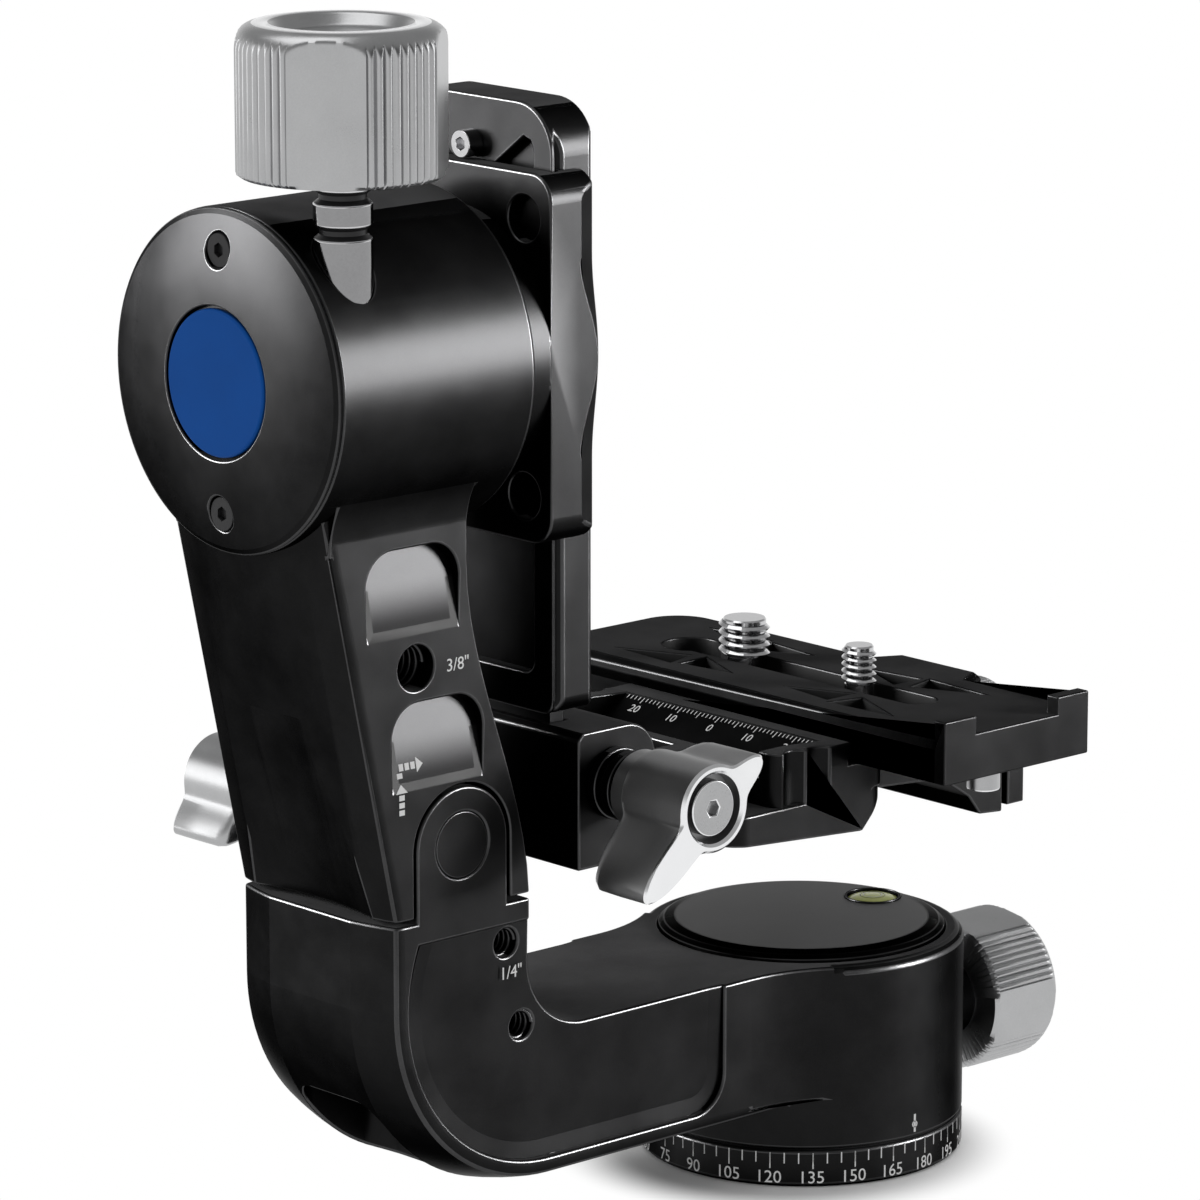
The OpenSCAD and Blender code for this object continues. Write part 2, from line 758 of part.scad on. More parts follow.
module fold_seat() {
    translate([-pin_x, half_w + clear_gap + fold_standoff, pin_z]) rotate([-90, 0, 0])
        rotate(fold_lever_turn) children();
}

module fold_lever() {
    color(silver) fold_seat() lever_body();
}

module fold_lever_screw() {
    color(steel) fold_seat() lever_cap();
}

function smooth(t) = t * t * (3 - 2 * t);
function neck_x(z) = -(leg_in + (neck_in - leg_in)
                       * smooth(min(1, max(0, (z - neck_low_z) / (neck_high_z - neck_low_z)))));

// Front outline of the upper arm, drawn in X and Z
module upper_outline() {
    polygon(concat([[-tilt_out - 20, upper_low], [-tilt_out - 20, tilt_z]],
                   [[neck_x(tilt_z), tilt_z]],
                   [for (i = [smooth_steps : -1 : 0])
                       let (z = upper_low + (neck_high_z - upper_low) * i / smooth_steps)
                       [neck_x(z), z]]));
}

// Thumb scoop, deepest under its arched top edge and fading out below
module thumb_scoop(x0, x1, top, h) {
    slope = atan(scoop_d / h);
    r = 6;
    translate([0, -half_w, top - h]) rotate([-slope, 0, 0]) along_y(-20, 0) {
        translate([x0, 0]) square([x1 - x0, h - r]);
        translate([x0 + r, 0]) square([x1 - x0 - 2 * r, h]);
        for (x = [x0 + r, x1 - r]) translate([x, h - r]) circle(r);
    }
}

// Two nested scoops in the crowned outer face: a flat one and a hollow one inside it,
// drawn with the leaning outer face upright on x = 0 and the seam at z = 0
module outer_scoops() {
    translate([-leg_out, 0, seam_z]) rotate([0, -lean, 0]) {
        along_y(-half_w, half_w)
            polygon([[0, flat_scoop_h], [flat_scoop_d, flat_scoop_h - flat_scoop_run],
                     [flat_scoop_d, -half_w], [-half_w, -half_w], [-half_w, flat_scoop_h]]);
        translate([flat_scoop_d, 0, hollow_scoop_h]) rotate([0, -hollow_scoop_slope, 0])
            translate([-hollow_scoop_r, 0, -2 * hollow_scoop_h])
                cylinder(r = hollow_scoop_r, h = 2 * hollow_scoop_h, $fn = 180);
    }
}

// Hollow blend between the arm's front face and the round tilt housing
module housing_blend() {
    rise = sqrt(pow(tilt_r + hub_blend_r, 2) - pow(half_w + hub_blend_r, 2));
    middle = [-half_w - hub_blend_r, tilt_z - rise];
    touch = [0, tilt_z] + (middle - [0, tilt_z]) * tilt_r / (tilt_r + hub_blend_r);
    translate([-hub_blend_x, 0, 0]) rotate([90, 0, 90]) linear_extrude(hub_blend_x - neck_in)
        difference() {
        polygon([[-half_w, middle[1]], [-half_w + 3, middle[1]], [-half_w + 3, tilt_z - tilt_r / 2],
                 touch]);
        translate(middle) circle(hub_blend_r + hub_blend_less, $fn = 180);
    }
}

module upper_arm_shell() {
    intersection() {
        along_y(-half_w, half_w) upper_outline();
        translate([-leg_out, 0, seam_z]) rotate([0, -lean, 0])
            translate([0, 0, -20]) linear_extrude(140)
                translate([elbow_r, 0]) mirror([1, 0]) arm_section(elbow_r, 0);
        translate([-tilt_out, -half_w - 1, 0]) cube([tilt_out, arm_w + 2, tilt_z]);
    }
    translate([-tilt_out, 0, tilt_z]) rotate([0, 90, 0]) rotate_extrude()
        polygon([[0, 0], [tilt_r, 0], [tilt_r, tilt_out - tilt_in - 1], [tilt_r - 1, tilt_out - tilt_in],
                 [0, tilt_out - tilt_in]]);
    along_y(-tongue_half, tongue_half) tongue_outline(0, tongue_low);
    for (s = [0, 1]) mirror([0, s, 0]) housing_blend();
}

module upper_arm() {
    color(black) difference() {
        upper_arm_shell();
        outer_scoops();
        // Recesses for the ears
        for (s = [-1, 1])
            along_y(s < 0 ? -half_w - 1 : ear_in - clear_gap, s < 0 ? -ear_in + clear_gap : half_w + 1)
                ear_outline(ear_gap, seam_z - 2);
        // Slot that rides over the fold pin's slide block
        along_y(-tongue_half - eps, tongue_half + eps)
            translate([-pin_x - block_side - slide_gap, pin_z - lift - slot_reach])
                square([2 * (block_side + slide_gap), lift + 2 * slot_reach]);
        // Bores for the shaft, the bearings and the brake drum
        translate([-tilt_out - 1, 0, tilt_z]) rotate([0, 90, 0]) {
            cylinder(r = chamber_r, h = tilt_out + 1 - outer_bearing_x + 1);
            translate([0, 0, tilt_out + 1 - outer_bearing_x])
                cylinder(r = tilt_bearing_r + seat_gap, h = tilt_out);
        }
        // Brake shoe bore and stem bore
        translate([-stem_x, -stem_y, tilt_z - brake_shoe_h / 2])
            cylinder(r = brake_shoe_r + run_gap, h = brake_shoe_h + 1.4);
        translate([-stem_x, -stem_y, tilt_z]) cylinder(r = stem_r + run_gap, h = stem_bore_l);
        for (s = [-1, 1]) translate([-tilt_out - 1, 0, tilt_z + s * cover_screw_d])
            rotate([0, 90, 0]) cylinder(r = cover_screw_r + seat_gap, h = 9);
        // Accessory thread through the arm and the thumb scoops
        translate([-acc_large_at[0], half_w + 1, acc_large_at[1]]) rotate([90, 0, 0])
            cylinder(r = acc_large_r, h = arm_w + 2);
        for (s = [0, 1]) mirror([0, s, 0]) {
            thumb_scoop(-scoop_high[0], neck_x(scoop_high[1] - 6) - 2, scoop_high[1], scoop_h);
            thumb_scoop(-scoop_low[0], neck_x(scoop_low[1] - 6) - 3, scoop_low[1], scoop_h);
        }
    }
}

module tilt_cover() {
    color(black) difference() {
        translate([-tilt_out, 0, tilt_z]) rotate([0, -90, 0]) rotate_extrude()
            polygon([[0, 0], [tilt_r - 0.1, 0], [tilt_r - 0.1, 0.7], [tilt_r - 1.2, 1.3],
                     [tilt_r * 0.75, cover_rise * 0.78], [badge_r + 1.6, cover_rise],
                     [0, cover_rise]]);
        translate([-cover_x - 1, 0, tilt_z]) rotate([0, 90, 0])
            cylinder(r = badge_r + 0.5, h = 2.2);
        for (s = [-1, 1]) translate([-cover_x - 1, 0, tilt_z + s * cover_screw_d]) rotate([0, 90, 0]) {
            cylinder(r = cover_screw_r + 0.1, h = 10);
            cylinder(r = cover_screw_head_r + 0.2, h = 1 + cover_rise - 0.9);
        }
    }
}

module cover_screws() {
    color(dark) for (s = [-1, 1]) translate([-tilt_out, 0, tilt_z + s * cover_screw_d])
        rotate([0, 90, 0]) difference() {
            union() {
                translate([0, 0, -0.9]) cylinder(r = cover_screw_r, h = 7.5);
                translate([0, 0, -2.2]) cylinder(r = cover_screw_head_r, h = 1.3);
            }
            translate([0, 0, -3]) cylinder(r = 1.25, h = 1.7, $fn = 6);
        }
}

module badge() {
    color(blue) translate([-cover_x + 1.2, 0, tilt_z]) rotate([0, -90, 0])
        rotate_extrude() polygon([[0, 0], [badge_r, 0], [badge_r, 0.9], [badge_r - 0.3, 1.2], [0, 1.2]]);
}

module tilt_bearing(x) {
    translate([-x, 0, tilt_z]) rotate([0, 90, 0]) rotate_extrude()
        translate([shaft_r + run_gap, 0])
            square([tilt_bearing_r - shaft_r - run_gap, tilt_bearing_w]);
}

module tilt_bearing_outer() {
    color(steel) tilt_bearing(outer_bearing_x);
}

module tilt_bearing_inner() {
    color(steel) tilt_bearing(inner_bearing_x);
}

module tilt_brake_shoe() {
    color(brass) difference() {
        translate([-stem_x, -stem_y, tilt_z - brake_shoe_h / 2 + 0.3])
            cylinder(r = brake_shoe_r, h = brake_shoe_h);
        translate([-tilt_out, 0, tilt_z]) rotate([0, 90, 0])
            cylinder(r = drum_r + slide_gap, h = tilt_out);
        translate([-stem_x, -stem_y, tilt_z]) cylinder(r = stem_tip_r + run_gap, h = stem_bore_l);
    }
}

module tilt_knob() {
    color(silver) translate([-stem_x, -stem_y, tilt_knob_z]) difference() {
        rotate(-49) fluted_knob(tilt_knob_r, tilt_knob_h, 4, 8, 11.6, 2.2, 4);
        translate([0, 0, -1]) cylinder(r = stem_r + seat_gap, h = 13);
    }
}

module tilt_stem() {
    low = tilt_z + brake_shoe_h / 2 + 0.8;
    color(steel) translate([-stem_x, -stem_y, 0]) {
        translate([0, 0, tilt_z + 1]) cylinder(r = stem_tip_r, h = low - tilt_z);
        rotate_extrude() polygon([[0, low], [stem_r, low], [stem_r, tilt_knob_z - 10.5],
                                  [stem_r - 1, tilt_knob_z - 9.7], [stem_r - 1, tilt_knob_z - 8.9],
                                  [stem_r, tilt_knob_z - 8.1], [stem_r, tilt_knob_z - 4.6],
                                  [stem_r - 1, tilt_knob_z - 3.8], [stem_r - 1, tilt_knob_z - 3],
                                  [stem_r, tilt_knob_z - 2.2], [stem_r, tilt_knob_z + 11],
                                  [0, tilt_knob_z + 11]]);
    }
}

module tilt_shaft() {
    color(steel) translate([0, 0, tilt_z]) rotate([0, -90, 0]) {
        translate([0, 0, clamp_x]) cylinder(r = shaft_r, h = stem_x - clamp_x);
        translate([0, 0, stem_x - drum_w / 2]) cylinder(r = drum_r, h = drum_w);
        translate([0, 0, drum_out - eps]) cylinder(r = 5, h = 2.2 + eps);
    }
}

module shaft_nut() {
    color(steel) translate([-drum_out, 0, tilt_z]) rotate([0, -90, 0]) difference() {
        cylinder(r = 9, h = 2, $fn = 6);
        translate([0, 0, -1]) cylinder(r = 5 + seat_gap, h = 5);
    }
}

// Flat shape with rounded corners, from its corner, its size and its radius
module round_square(x, y, w, h, r) {
    translate([x + r, y]) square([w - 2 * r, h]);
    translate([x, y + r]) square([w, h - 2 * r]);
    for (i = [x + r, x + w - r], j = [y + r, y + h - r]) translate([i, j]) circle(r);
}

// Rail section across its length with a V groove on each side, grown by a clearance
module rail_section(grow) {
    h = half_rail + grow;
    back = -rail_out - grow;
    front = -rail_out + rail_t + grow;
    mitre = grow * (sqrt(2) - 1);
    lip = -rail_out + groove_lip + mitre;
    arris = -rail_out + groove_lip + 2 * groove_half - mitre;
    floor_y = half_rail - groove_half + grow * sqrt(2);
    bevel = rail_bevel + grow - mitre;
    polygon([[back, -h], [lip, -h], [-rail_out + groove_lip + groove_half, -floor_y], [arris, -h],
             [front - bevel, -h], [front, -h + bevel], [front, h - bevel], [front - bevel, h],
             [arris, h], [-rail_out + groove_lip + groove_half, floor_y], [lip, h], [back, h]]);
}

// Side of the clamp away from the arm, drawn in X and Z: it swells towards the tilt axis
function swelling(z) = abs(z) < bulge_half ? (1 + cos(180 * z / bulge_half)) / 2 : 0;
module swollen_side(front, swell) {
    polygon(concat([[0, clamp_low - 1]],
                   [for (z = [-clamp_h / 2 - 1 : (clamp_h + 2) / 44 : clamp_h / 2 + 1.01])
                        [-front - swell * (1 - swelling(z)), tilt_z + z]],
                   [[0, clamp_high + 1]]));
}

module clamp_block() {
    difference() {
        translate([-clamp_x, 0, 0]) rotate([90, 0, 90]) linear_extrude(clamp_x - clamp_front)
            round_square(-clamp_w / 2, clamp_low, clamp_w, clamp_h, 5);
        along_y(-clamp_w, clamp_w) swollen_side(clamp_front, bulge);
        // Slanted relief on the cheek that faces the accessory threads
        intersection() {
            along_y(-clamp_w, 0) swollen_side(clamp_front + 1.3, relief_swell);
            translate([-clamp_front - 1.3 - relief_swell, -clamp_w / 2, clamp_low - 1])
                rotate([0, 0, relief_slope]) translate([0, -clamp_w, 0])
                    cube([clamp_w, clamp_w, clamp_h + 2]);
        }
        translate([0, 0, clamp_low - 1]) linear_extrude(clamp_h + 2) rail_section(slide_gap);
    }
}

// Room of the separate jaw that closes the clamp on one side, grown by a gap
module jaw_room(gap) {
    translate([-rail_out - gap, half_rail - 3, clamp_low - 1])
        cube([clamp_w, clamp_w, clamp_h + 2]);
}

module jaw_bolt_seats() {
    for (s = [-1, 1])
        translate([-clamp_front - bulge, half_rail + slide_gap + 2.1, tilt_z + s * clamp_h / 4])
            rotate([0, -90, 0]) children();
}

module rail_clamp() {
    color(black) difference() {
        union() {
            difference() {
                clamp_block();
                jaw_room(seat_gap);
            }
            translate([-clamp_x - flange_w, 0, tilt_z]) rotate([0, 90, 0])
                cylinder(r = flange_r, h = flange_w + eps);
        }
        translate([-clamp_x - flange_w - 1, 0, tilt_z]) rotate([0, 90, 0])
            cylinder(r = shaft_r + seat_gap, h = flange_w + 1);
        jaw_bolt_seats() cylinder(r = jaw_bolt_r + seat_gap, h = 9.7);
        // Weight-saving pockets beside the flange
        for (y = [-1, 1], z = [-1, 1])
            translate([-clamp_x - 1, y * (clamp_w / 2 - 7), tilt_z + z * (clamp_h / 2 - 8)])
                rotate([0, 90, 0]) cylinder(r = 4, h = 3);
    }
}

module rail_jaw() {
    color(black) difference() {
        intersection() {
            clamp_block();
            jaw_room(0);
        }
        jaw_bolt_seats() cylinder(r = jaw_bolt_r + run_gap, h = 11);
        jaw_bolt_seats() translate([0, 0, -4]) cylinder(r = jaw_bolt_head_r + run_gap, h = 6.4);
    }
}

module jaw_bolts() {
    color(steel) jaw_bolt_seats() {
        translate([0, 0, 2.3]) cylinder(r = jaw_bolt_r, h = 7);
        difference() {
            translate([0, 0, 0.8]) cylinder(r = jaw_bolt_head_r, h = 1.58);
            translate([0, 0, 0]) cylinder(r = 0.8, h = 1.8, $fn = 6);
        }
    }
}

// Outline of the rail seen along the tilt axis
module rail_outline() {
    h = rail_high - rail_low;
    translate([-half_rail, rail_low + rail_foot_r]) square([rail_w, h - rail_foot_r - rail_corner]);
    round_square(-half_rail, rail_low, rail_w, h / 2, rail_foot_r);
    round_square(-half_rail, rail_low + h / 2, rail_w, h / 2, rail_corner);
}

module swing_rail() {
    color(black) {
        difference() {
            intersection() {
                translate([0, 0, rail_low]) linear_extrude(rail_high - rail_low) rail_section(0);
                translate([-rail_out - 1, 0, 0]) rotate([90, 0, 90]) linear_extrude(rail_t + 2)
                    rail_outline();
            }
            // Long pocket in the outer face and a pair of smaller ones at the top
            translate([-rail_out - 1, 0, 0]) rotate([90, 0, 90]) linear_extrude(rail_pocket_d + 1) {
                round_square(-rail_pocket, rail_low + 6.8, 2 * rail_pocket,
                             clamp_high - 8 - rail_low - 6.8, 2.5);
                for (s = [-1, 1])
                    polygon([[s * 2.6, clamp_high - 2.4], [s * rail_pocket, clamp_high - 2.4],
                             [s * rail_pocket, clamp_high + 3], [s * 14.4, clamp_high + 4.4],
                             [s * 12.7, clamp_high + 5]]);
            }
            translate([-rail_out - 1, 0, clamp_high + 0.2 + stop_screw_r]) rotate([0, 90, 0])
                cylinder(r = 1.5 + seat_gap, h = 7);
        }
        // Tongue held by the platform block
        translate([-rail_tongue_x, -rail_tongue_w / 2, rail_tongue_low])
            cube([tongue_t, rail_tongue_w, rail_low + 4 - rail_tongue_low]);
    }
}

module rail_stop_screw() {
    color(silver) translate([-rail_out, 0, clamp_high + 0.2 + stop_screw_r]) rotate([0, -90, 0])
        difference() {
            union() {
                translate([0, 0, -5]) cylinder(r = 1.5, h = 5 + eps);
                cylinder(r = stop_screw_r, h = stop_screw_out);
            }
            translate([0, 0, stop_screw_out - 1.6]) cylinder(r = 1.2, h = 3, $fn = 6);
        }
}

// Cross section of the quick-release clamp, drawn in X and Z
module platform_outline() {
    nose = jaw_front + groove_d - nose_gap;
    polygon(concat(
        [[-block_out, block_low], [-block_out, block_top - block_bevel],
         [-block_out + block_bevel, block_top]],
        [for (t = [90 : -10 : 0])
             [-block_in - block_round + block_round * cos(t),
              block_top - block_round + block_round * sin(t)]],
        [[-block_in, deck_z + 1.5], [-block_in + 1.5, deck_z],
         [jaw_front - 10, deck_z], [jaw_front - 3.2, jaw_top], [nose - 0.4, jaw_top],
         [nose, groove_z], [jaw_front - nose_gap, groove_z - groove_d],
         [jaw_front - nose_gap, deck_z], [body_end, deck_z], [body_end, qr_jaw_low - 1],
         [body_end - 5.8, qr_jaw_low - 0.5], [body_end - 8.8, block_low - 0.5],
         [foot_x, block_low + 3], [-slab_in, block_low + 4.2], [-slab_in - 6, block_low - 2.1],
         [-slab_out + 2, block_low]]));
}

// Raised end of the fixed jaw, drawn in X and Z
module boss_outline() {
    polygon([[-boss_out, layer_z], [-boss_out, jaw_top + 0.6], [-boss_out + 6, jaw_top + 0.6],
             [jaw_front - 3.2, jaw_top], [jaw_front - 3.2, layer_z]]);
}

// Plan of the platform's lower half: block, slab, thin middle and foot
module lower_plan() {
    round_square(-slab_out, -jaw_l / 2, slab_out - slab_in, jaw_l, 4);
    translate([-slab_in - 4, -deck_half]) square([slab_in + 4 + body_end, 2 * deck_half]);
    translate([foot_x, -jaw_l / 2]) square([body_end - foot_x, jaw_l]);
}

// Plan of its upper half: deck and the fixed jaw with two flutes at each end
module upper_plan() {
    difference() {
        round_square(-boss_out, -jaw_l / 2, boss_out - slab_in, jaw_l, 3);
        for (s = [-1, 1], x = [-31, -25]) translate([x, s * (jaw_l / 2 + 1.4)]) circle(3);
    }
    translate([-slab_in - 4, -deck_half]) square([slab_in + 4 + body_end, 2 * deck_half]);
}

module block_plan() {
    translate([-block_out, -block_w / 2]) square([block_l, block_w]);
    translate([-block_in - eps, -neck_half]) square([block_in, 2 * neck_half]);
}

module platform() {
    color(black) difference() {
        intersection() {
            union() {
                along_y(-jaw_l / 2 - 1, jaw_l / 2 + 1) platform_outline();
                along_y(-jaw_l / 2 - 1, -jaw_l / 2 + boss_t) boss_outline();
                along_y(jaw_l / 2 - boss_t, jaw_l / 2 + 1) boss_outline();
            }
            union() {
                translate([0, 0, block_low - 20]) linear_extrude(60) block_plan();
                translate([0, 0, block_low - 20]) linear_extrude(layer_z - block_low + 20) lower_plan();
                translate([0, 0, layer_z - eps]) linear_extrude(40) upper_plan();
            }
        }
        // Socket for the rail's tongue, bore for the lock's stud and shoe
        translate([-rail_tongue_x - slide_gap, -rail_tongue_w / 2 - slide_gap, tongue_floor])
            cube([tongue_t + 2 * slide_gap, rail_tongue_w + 2 * slide_gap, block_top]);
        translate([-lock_x, -block_w, lock_z]) rotate([-90, 0, 0])
            cylinder(r = stud_r + run_gap, h = block_w - rail_tongue_w / 2);
        // Pockets in the deck
        for (s = [-1, 1]) translate([0, 0, deck_z - 3]) linear_extrude(30)
            polygon([[-block_in + 5, s * 2.5], [-30, s * 2.5], [-30, s * 15], [-38, s * 15]]);
        // Quick-release screw and guide pin bores
        translate([body_end - qr_stud_in - 1, 0, qr_z]) rotate([0, 90, 0])
            cylinder(r = stud_r + run_gap, h = 40);
        for (s = [-1, 1]) translate([body_end - guide_l, s * guide_y, guide_z])
            rotate([0, 90, 0]) cylinder(r = guide_r + run_gap, h = 40);
    }
}

// Plug between the lock's stud and the edge of the rail's tongue
module platform_shoe() {
    color(brass) translate([-lock_x, -rail_tongue_w / 2 - slide_gap, lock_z]) rotate([90, 0, 0])
        cylinder(r = stud_r, h = shoe_t);
}

module lock_seat() {
    translate([-lock_x, -block_w / 2 - lock_standoff, lock_z]) rotate([90, 0, 0]) children();
}

module platform_stud() {
    color(black) translate([-lock_x, 0, lock_z]) rotate([90, 0, 0]) {
        translate([0, 0, rail_tongue_w / 2 + 2 * slide_gap + shoe_t])
            cylinder(r = stud_r, h = block_w / 2 + lever_l - rail_tongue_w / 2 - shoe_t);
        translate([0, 0, block_w / 2 + clear_gap])
            lever_collar(lock_standoff - lever_neck - clear_gap);
    }
}

module platform_lever() {
    color(silver) lock_seat() lever_body();
}

module platform_lever_screw() {
    color(steel) lock_seat() lever_cap();
}

module qr_jaw() {
    nose = jaw_back - groove_d + nose_gap;
    end = qr_jaw_x + qr_jaw_t;
    color(black) difference() {
        along_y(-jaw_l / 2, jaw_l / 2)
            polygon([[end, qr_jaw_low], [end, jaw_top - 1.5], [end - 1.5, jaw_top], [nose + 0.4, jaw_top],
                     [nose, groove_z], [jaw_back + nose_gap, groove_z - groove_d],
                     [jaw_back + nose_gap, deck_z + slide_gap], [qr_jaw_x, deck_z + slide_gap],
                     [qr_jaw_x, qr_jaw_low]]);
        translate([body_end, 0, qr_z]) rotate([0, 90, 0]) cylinder(r = stud_r + run_gap, h = 40);
        for (s = [-1, 1]) translate([body_end, s * guide_y, guide_z]) rotate([0, 90, 0])
            cylinder(r = guide_r + seat_gap, h = qr_slit + 3.4);
    }
}

module qr_guide_pins() {
    color(steel) for (s = [-1, 1]) translate([body_end - guide_l + 1, s * guide_y, guide_z])
        rotate([0, 90, 0]) cylinder(r = guide_r, h = guide_l - 1 + qr_slit + 3.4);
}

module qr_stud() {
    color(black) translate([0, 0, qr_z]) rotate([0, 90, 0]) {
        translate([0, 0, body_end - qr_stud_in])
            cylinder(r = stud_r, h = qr_knob_x + stud_in - body_end + qr_stud_in);
        translate([0, 0, qr_jaw_x + qr_jaw_t + clear_gap]) {
            cylinder(r = collar_r - 1, h = 3);
            cylinder(r = collar_r - 2.6, h = qr_standoff - clear_gap);
        }
    }
}

module qr_knob() {
    color(silver) translate([qr_knob_x, 0, qr_z]) rotate([0, 90, 0]) difference() {
        rotate(45) fluted_knob(qr_knob_r, qr_knob_l, 4, 8, qr_knob_r * 0.62, 1.4, 2.5);
        translate([0, 0, -1]) cylinder(r = stud_r + seat_gap, h = stud_in + 2);
    }
}

// Section of the camera plate, drawn in X and Z
module plate_section() {
    l = jaw_front;
    r = jaw_back;
    g = groove_d;
    polygon([[l, plate_low], [l, groove_z - g], [l + g, groove_z], [l, groove_z + g], [l, plate_top],
             [r, plate_top], [r, groove_z + g], [r - g, groove_z], [r, groove_z - g], [r, plate_low]]);
}

module camera_plate() {
    color(black) difference() {
        union() {
            intersection() {
                along_y(plate_near, plate_far) plate_section();
                // Rounded far corners
                linear_extrude(plate_top + 1) union() {
                    translate([jaw_front, plate_near]) square([plate_w, plate_l - 9]);
                    translate([jaw_front + 9, plate_near]) square([plate_w - 18, plate_l]);
                    for (x = [jaw_front + 9, jaw_back - 9]) translate([x, plate_far - 9]) circle(9);
                }
            }
            // Widened ear on the inner edge
            translate([0, 0, groove_z + groove_d]) linear_extrude(plate_top - groove_z - groove_d)
                polygon([[jaw_back - 2, 2], [jaw_back, 2], [jaw_back + 5.8, -1], [jaw_back + 5.8, -21],
                         [jaw_back, -24], [jaw_back - 2, -24]]);
            // End flange with a lip at each corner
            translate([jaw_front, plate_near, plate_low]) cube([plate_w, end_t, plate_t]);
            for (x = [jaw_front, jaw_back - 8]) translate([x, plate_near, plate_low])
                cube([8, end_t, plate_t + lip_h]);
        }
        // Slot, insertion hole and the channel for the screw heads
        translate([plate_x - slot_w / 2, slot_near + slot_w / 2, plate_low - 1])
            cube([slot_w, slot_far - slot_near - slot_w, 20]);
        translate([plate_x, slot_near + slot_w / 2, plate_low - 1]) cylinder(r = slot_w / 2, h = 20);
        translate([plate_x, slot_far - 5, plate_low - 1]) cylinder(r = 5.4, h = 20);
        translate([plate_x - channel_w / 2, slot_near - 4, plate_low - 1])
            cube([channel_w, slot_far - slot_near + 8, plate_t - web_t + 1]);
        // Two pairs of triangular pockets along each edge
        for (s = [-1, 1], t = [-1, 1]) translate([plate_x, pocket_mid, plate_top - 2])
            linear_extrude(3) {
                polygon([[s * 11.9, t * 35.9], [s * 6.2, t * 22.6], [s * 12.9, t * 20.8]]);
                polygon([[s * 12, t * 19.4], [s * 5.2, t * 19.4], [s * 10.4, t * 7.2]]);
            }
        for (s = [-1, 1]) translate([plate_x, s * stop_pin_y, plate_low - 1])
            cylinder(r = 1.5 + seat_gap, h = 5);
    }
}

module stop_pins() {
    color(silver) for (s = [-1, 1]) translate([plate_x, s * stop_pin_y, plate_low]) {
        translate([0, 0, -eps]) cylinder(r = 1.5, h = 3.6);
        translate([0, 0, -stop_pin_l]) cylinder(r = stop_pin_r, h = stop_pin_l);
    }
}

module camera_screw(y, thread_r, neck_r) {
    head_h = plate_t - web_t - 0.7;
    translate([plate_x, y, plate_low + 0.4]) difference() {
        union() {
            cylinder(r = head_r, h = head_h);
            cylinder(r = neck_r, h = plate_t);
            translate([0, 0, plate_t]) cylinder(r = thread_r, h = screw_out - 0.4);
        }
        translate([0, 0, -1]) cylinder(r = 2.5, h = 3, $fn = 6);
    }
}

module large_screw() {
    color(steel) camera_screw(large_y, large_screw_r, large_neck_r);
}

module small_screw() {
    color(steel) camera_screw(small_y, small_screw_r, small_neck_r);
}

scale_ring();
ring_screws();
tripod_bush();
pan_spindle();
pan_nut();
lower_arm();
pan_bearing();
pan_cap();
level_cup();
level_vial();
pan_brake_shoe();
pan_knob();
pan_stud();
fold_slide_block();
fold_pin();
fold_lever();
fold_lever_screw();
upper_arm();
tilt_cover();
cover_screws();
badge();
tilt_bearing_outer();
tilt_bearing_inner();
tilt_brake_shoe();
tilt_knob();
tilt_stem();
tilt_shaft();
shaft_nut();
rail_clamp();
rail_jaw();
jaw_bolts();
swing_rail();
rail_stop_screw();
platform();
platform_shoe();
platform_lever();
platform_stud();
platform_lever_screw();
qr_jaw();
qr_guide_pins();
qr_knob();
qr_stud();
camera_plate();
stop_pins();
large_screw();
small_screw();
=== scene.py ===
"""Looks of the side-arm gimbal head: edges, finishes, knobs, threads, scales and the studio.

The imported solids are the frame. Each visible solid gets broken edges and a finish, and the
pieces that carry fine detail are drawn here around the same axes.
"""

import json
import math

import bmesh
import bpy
from mathutils import Matrix, Vector
from mathutils.bvhtree import BVHTree
from mathutils.interpolate import poly_3d_calc

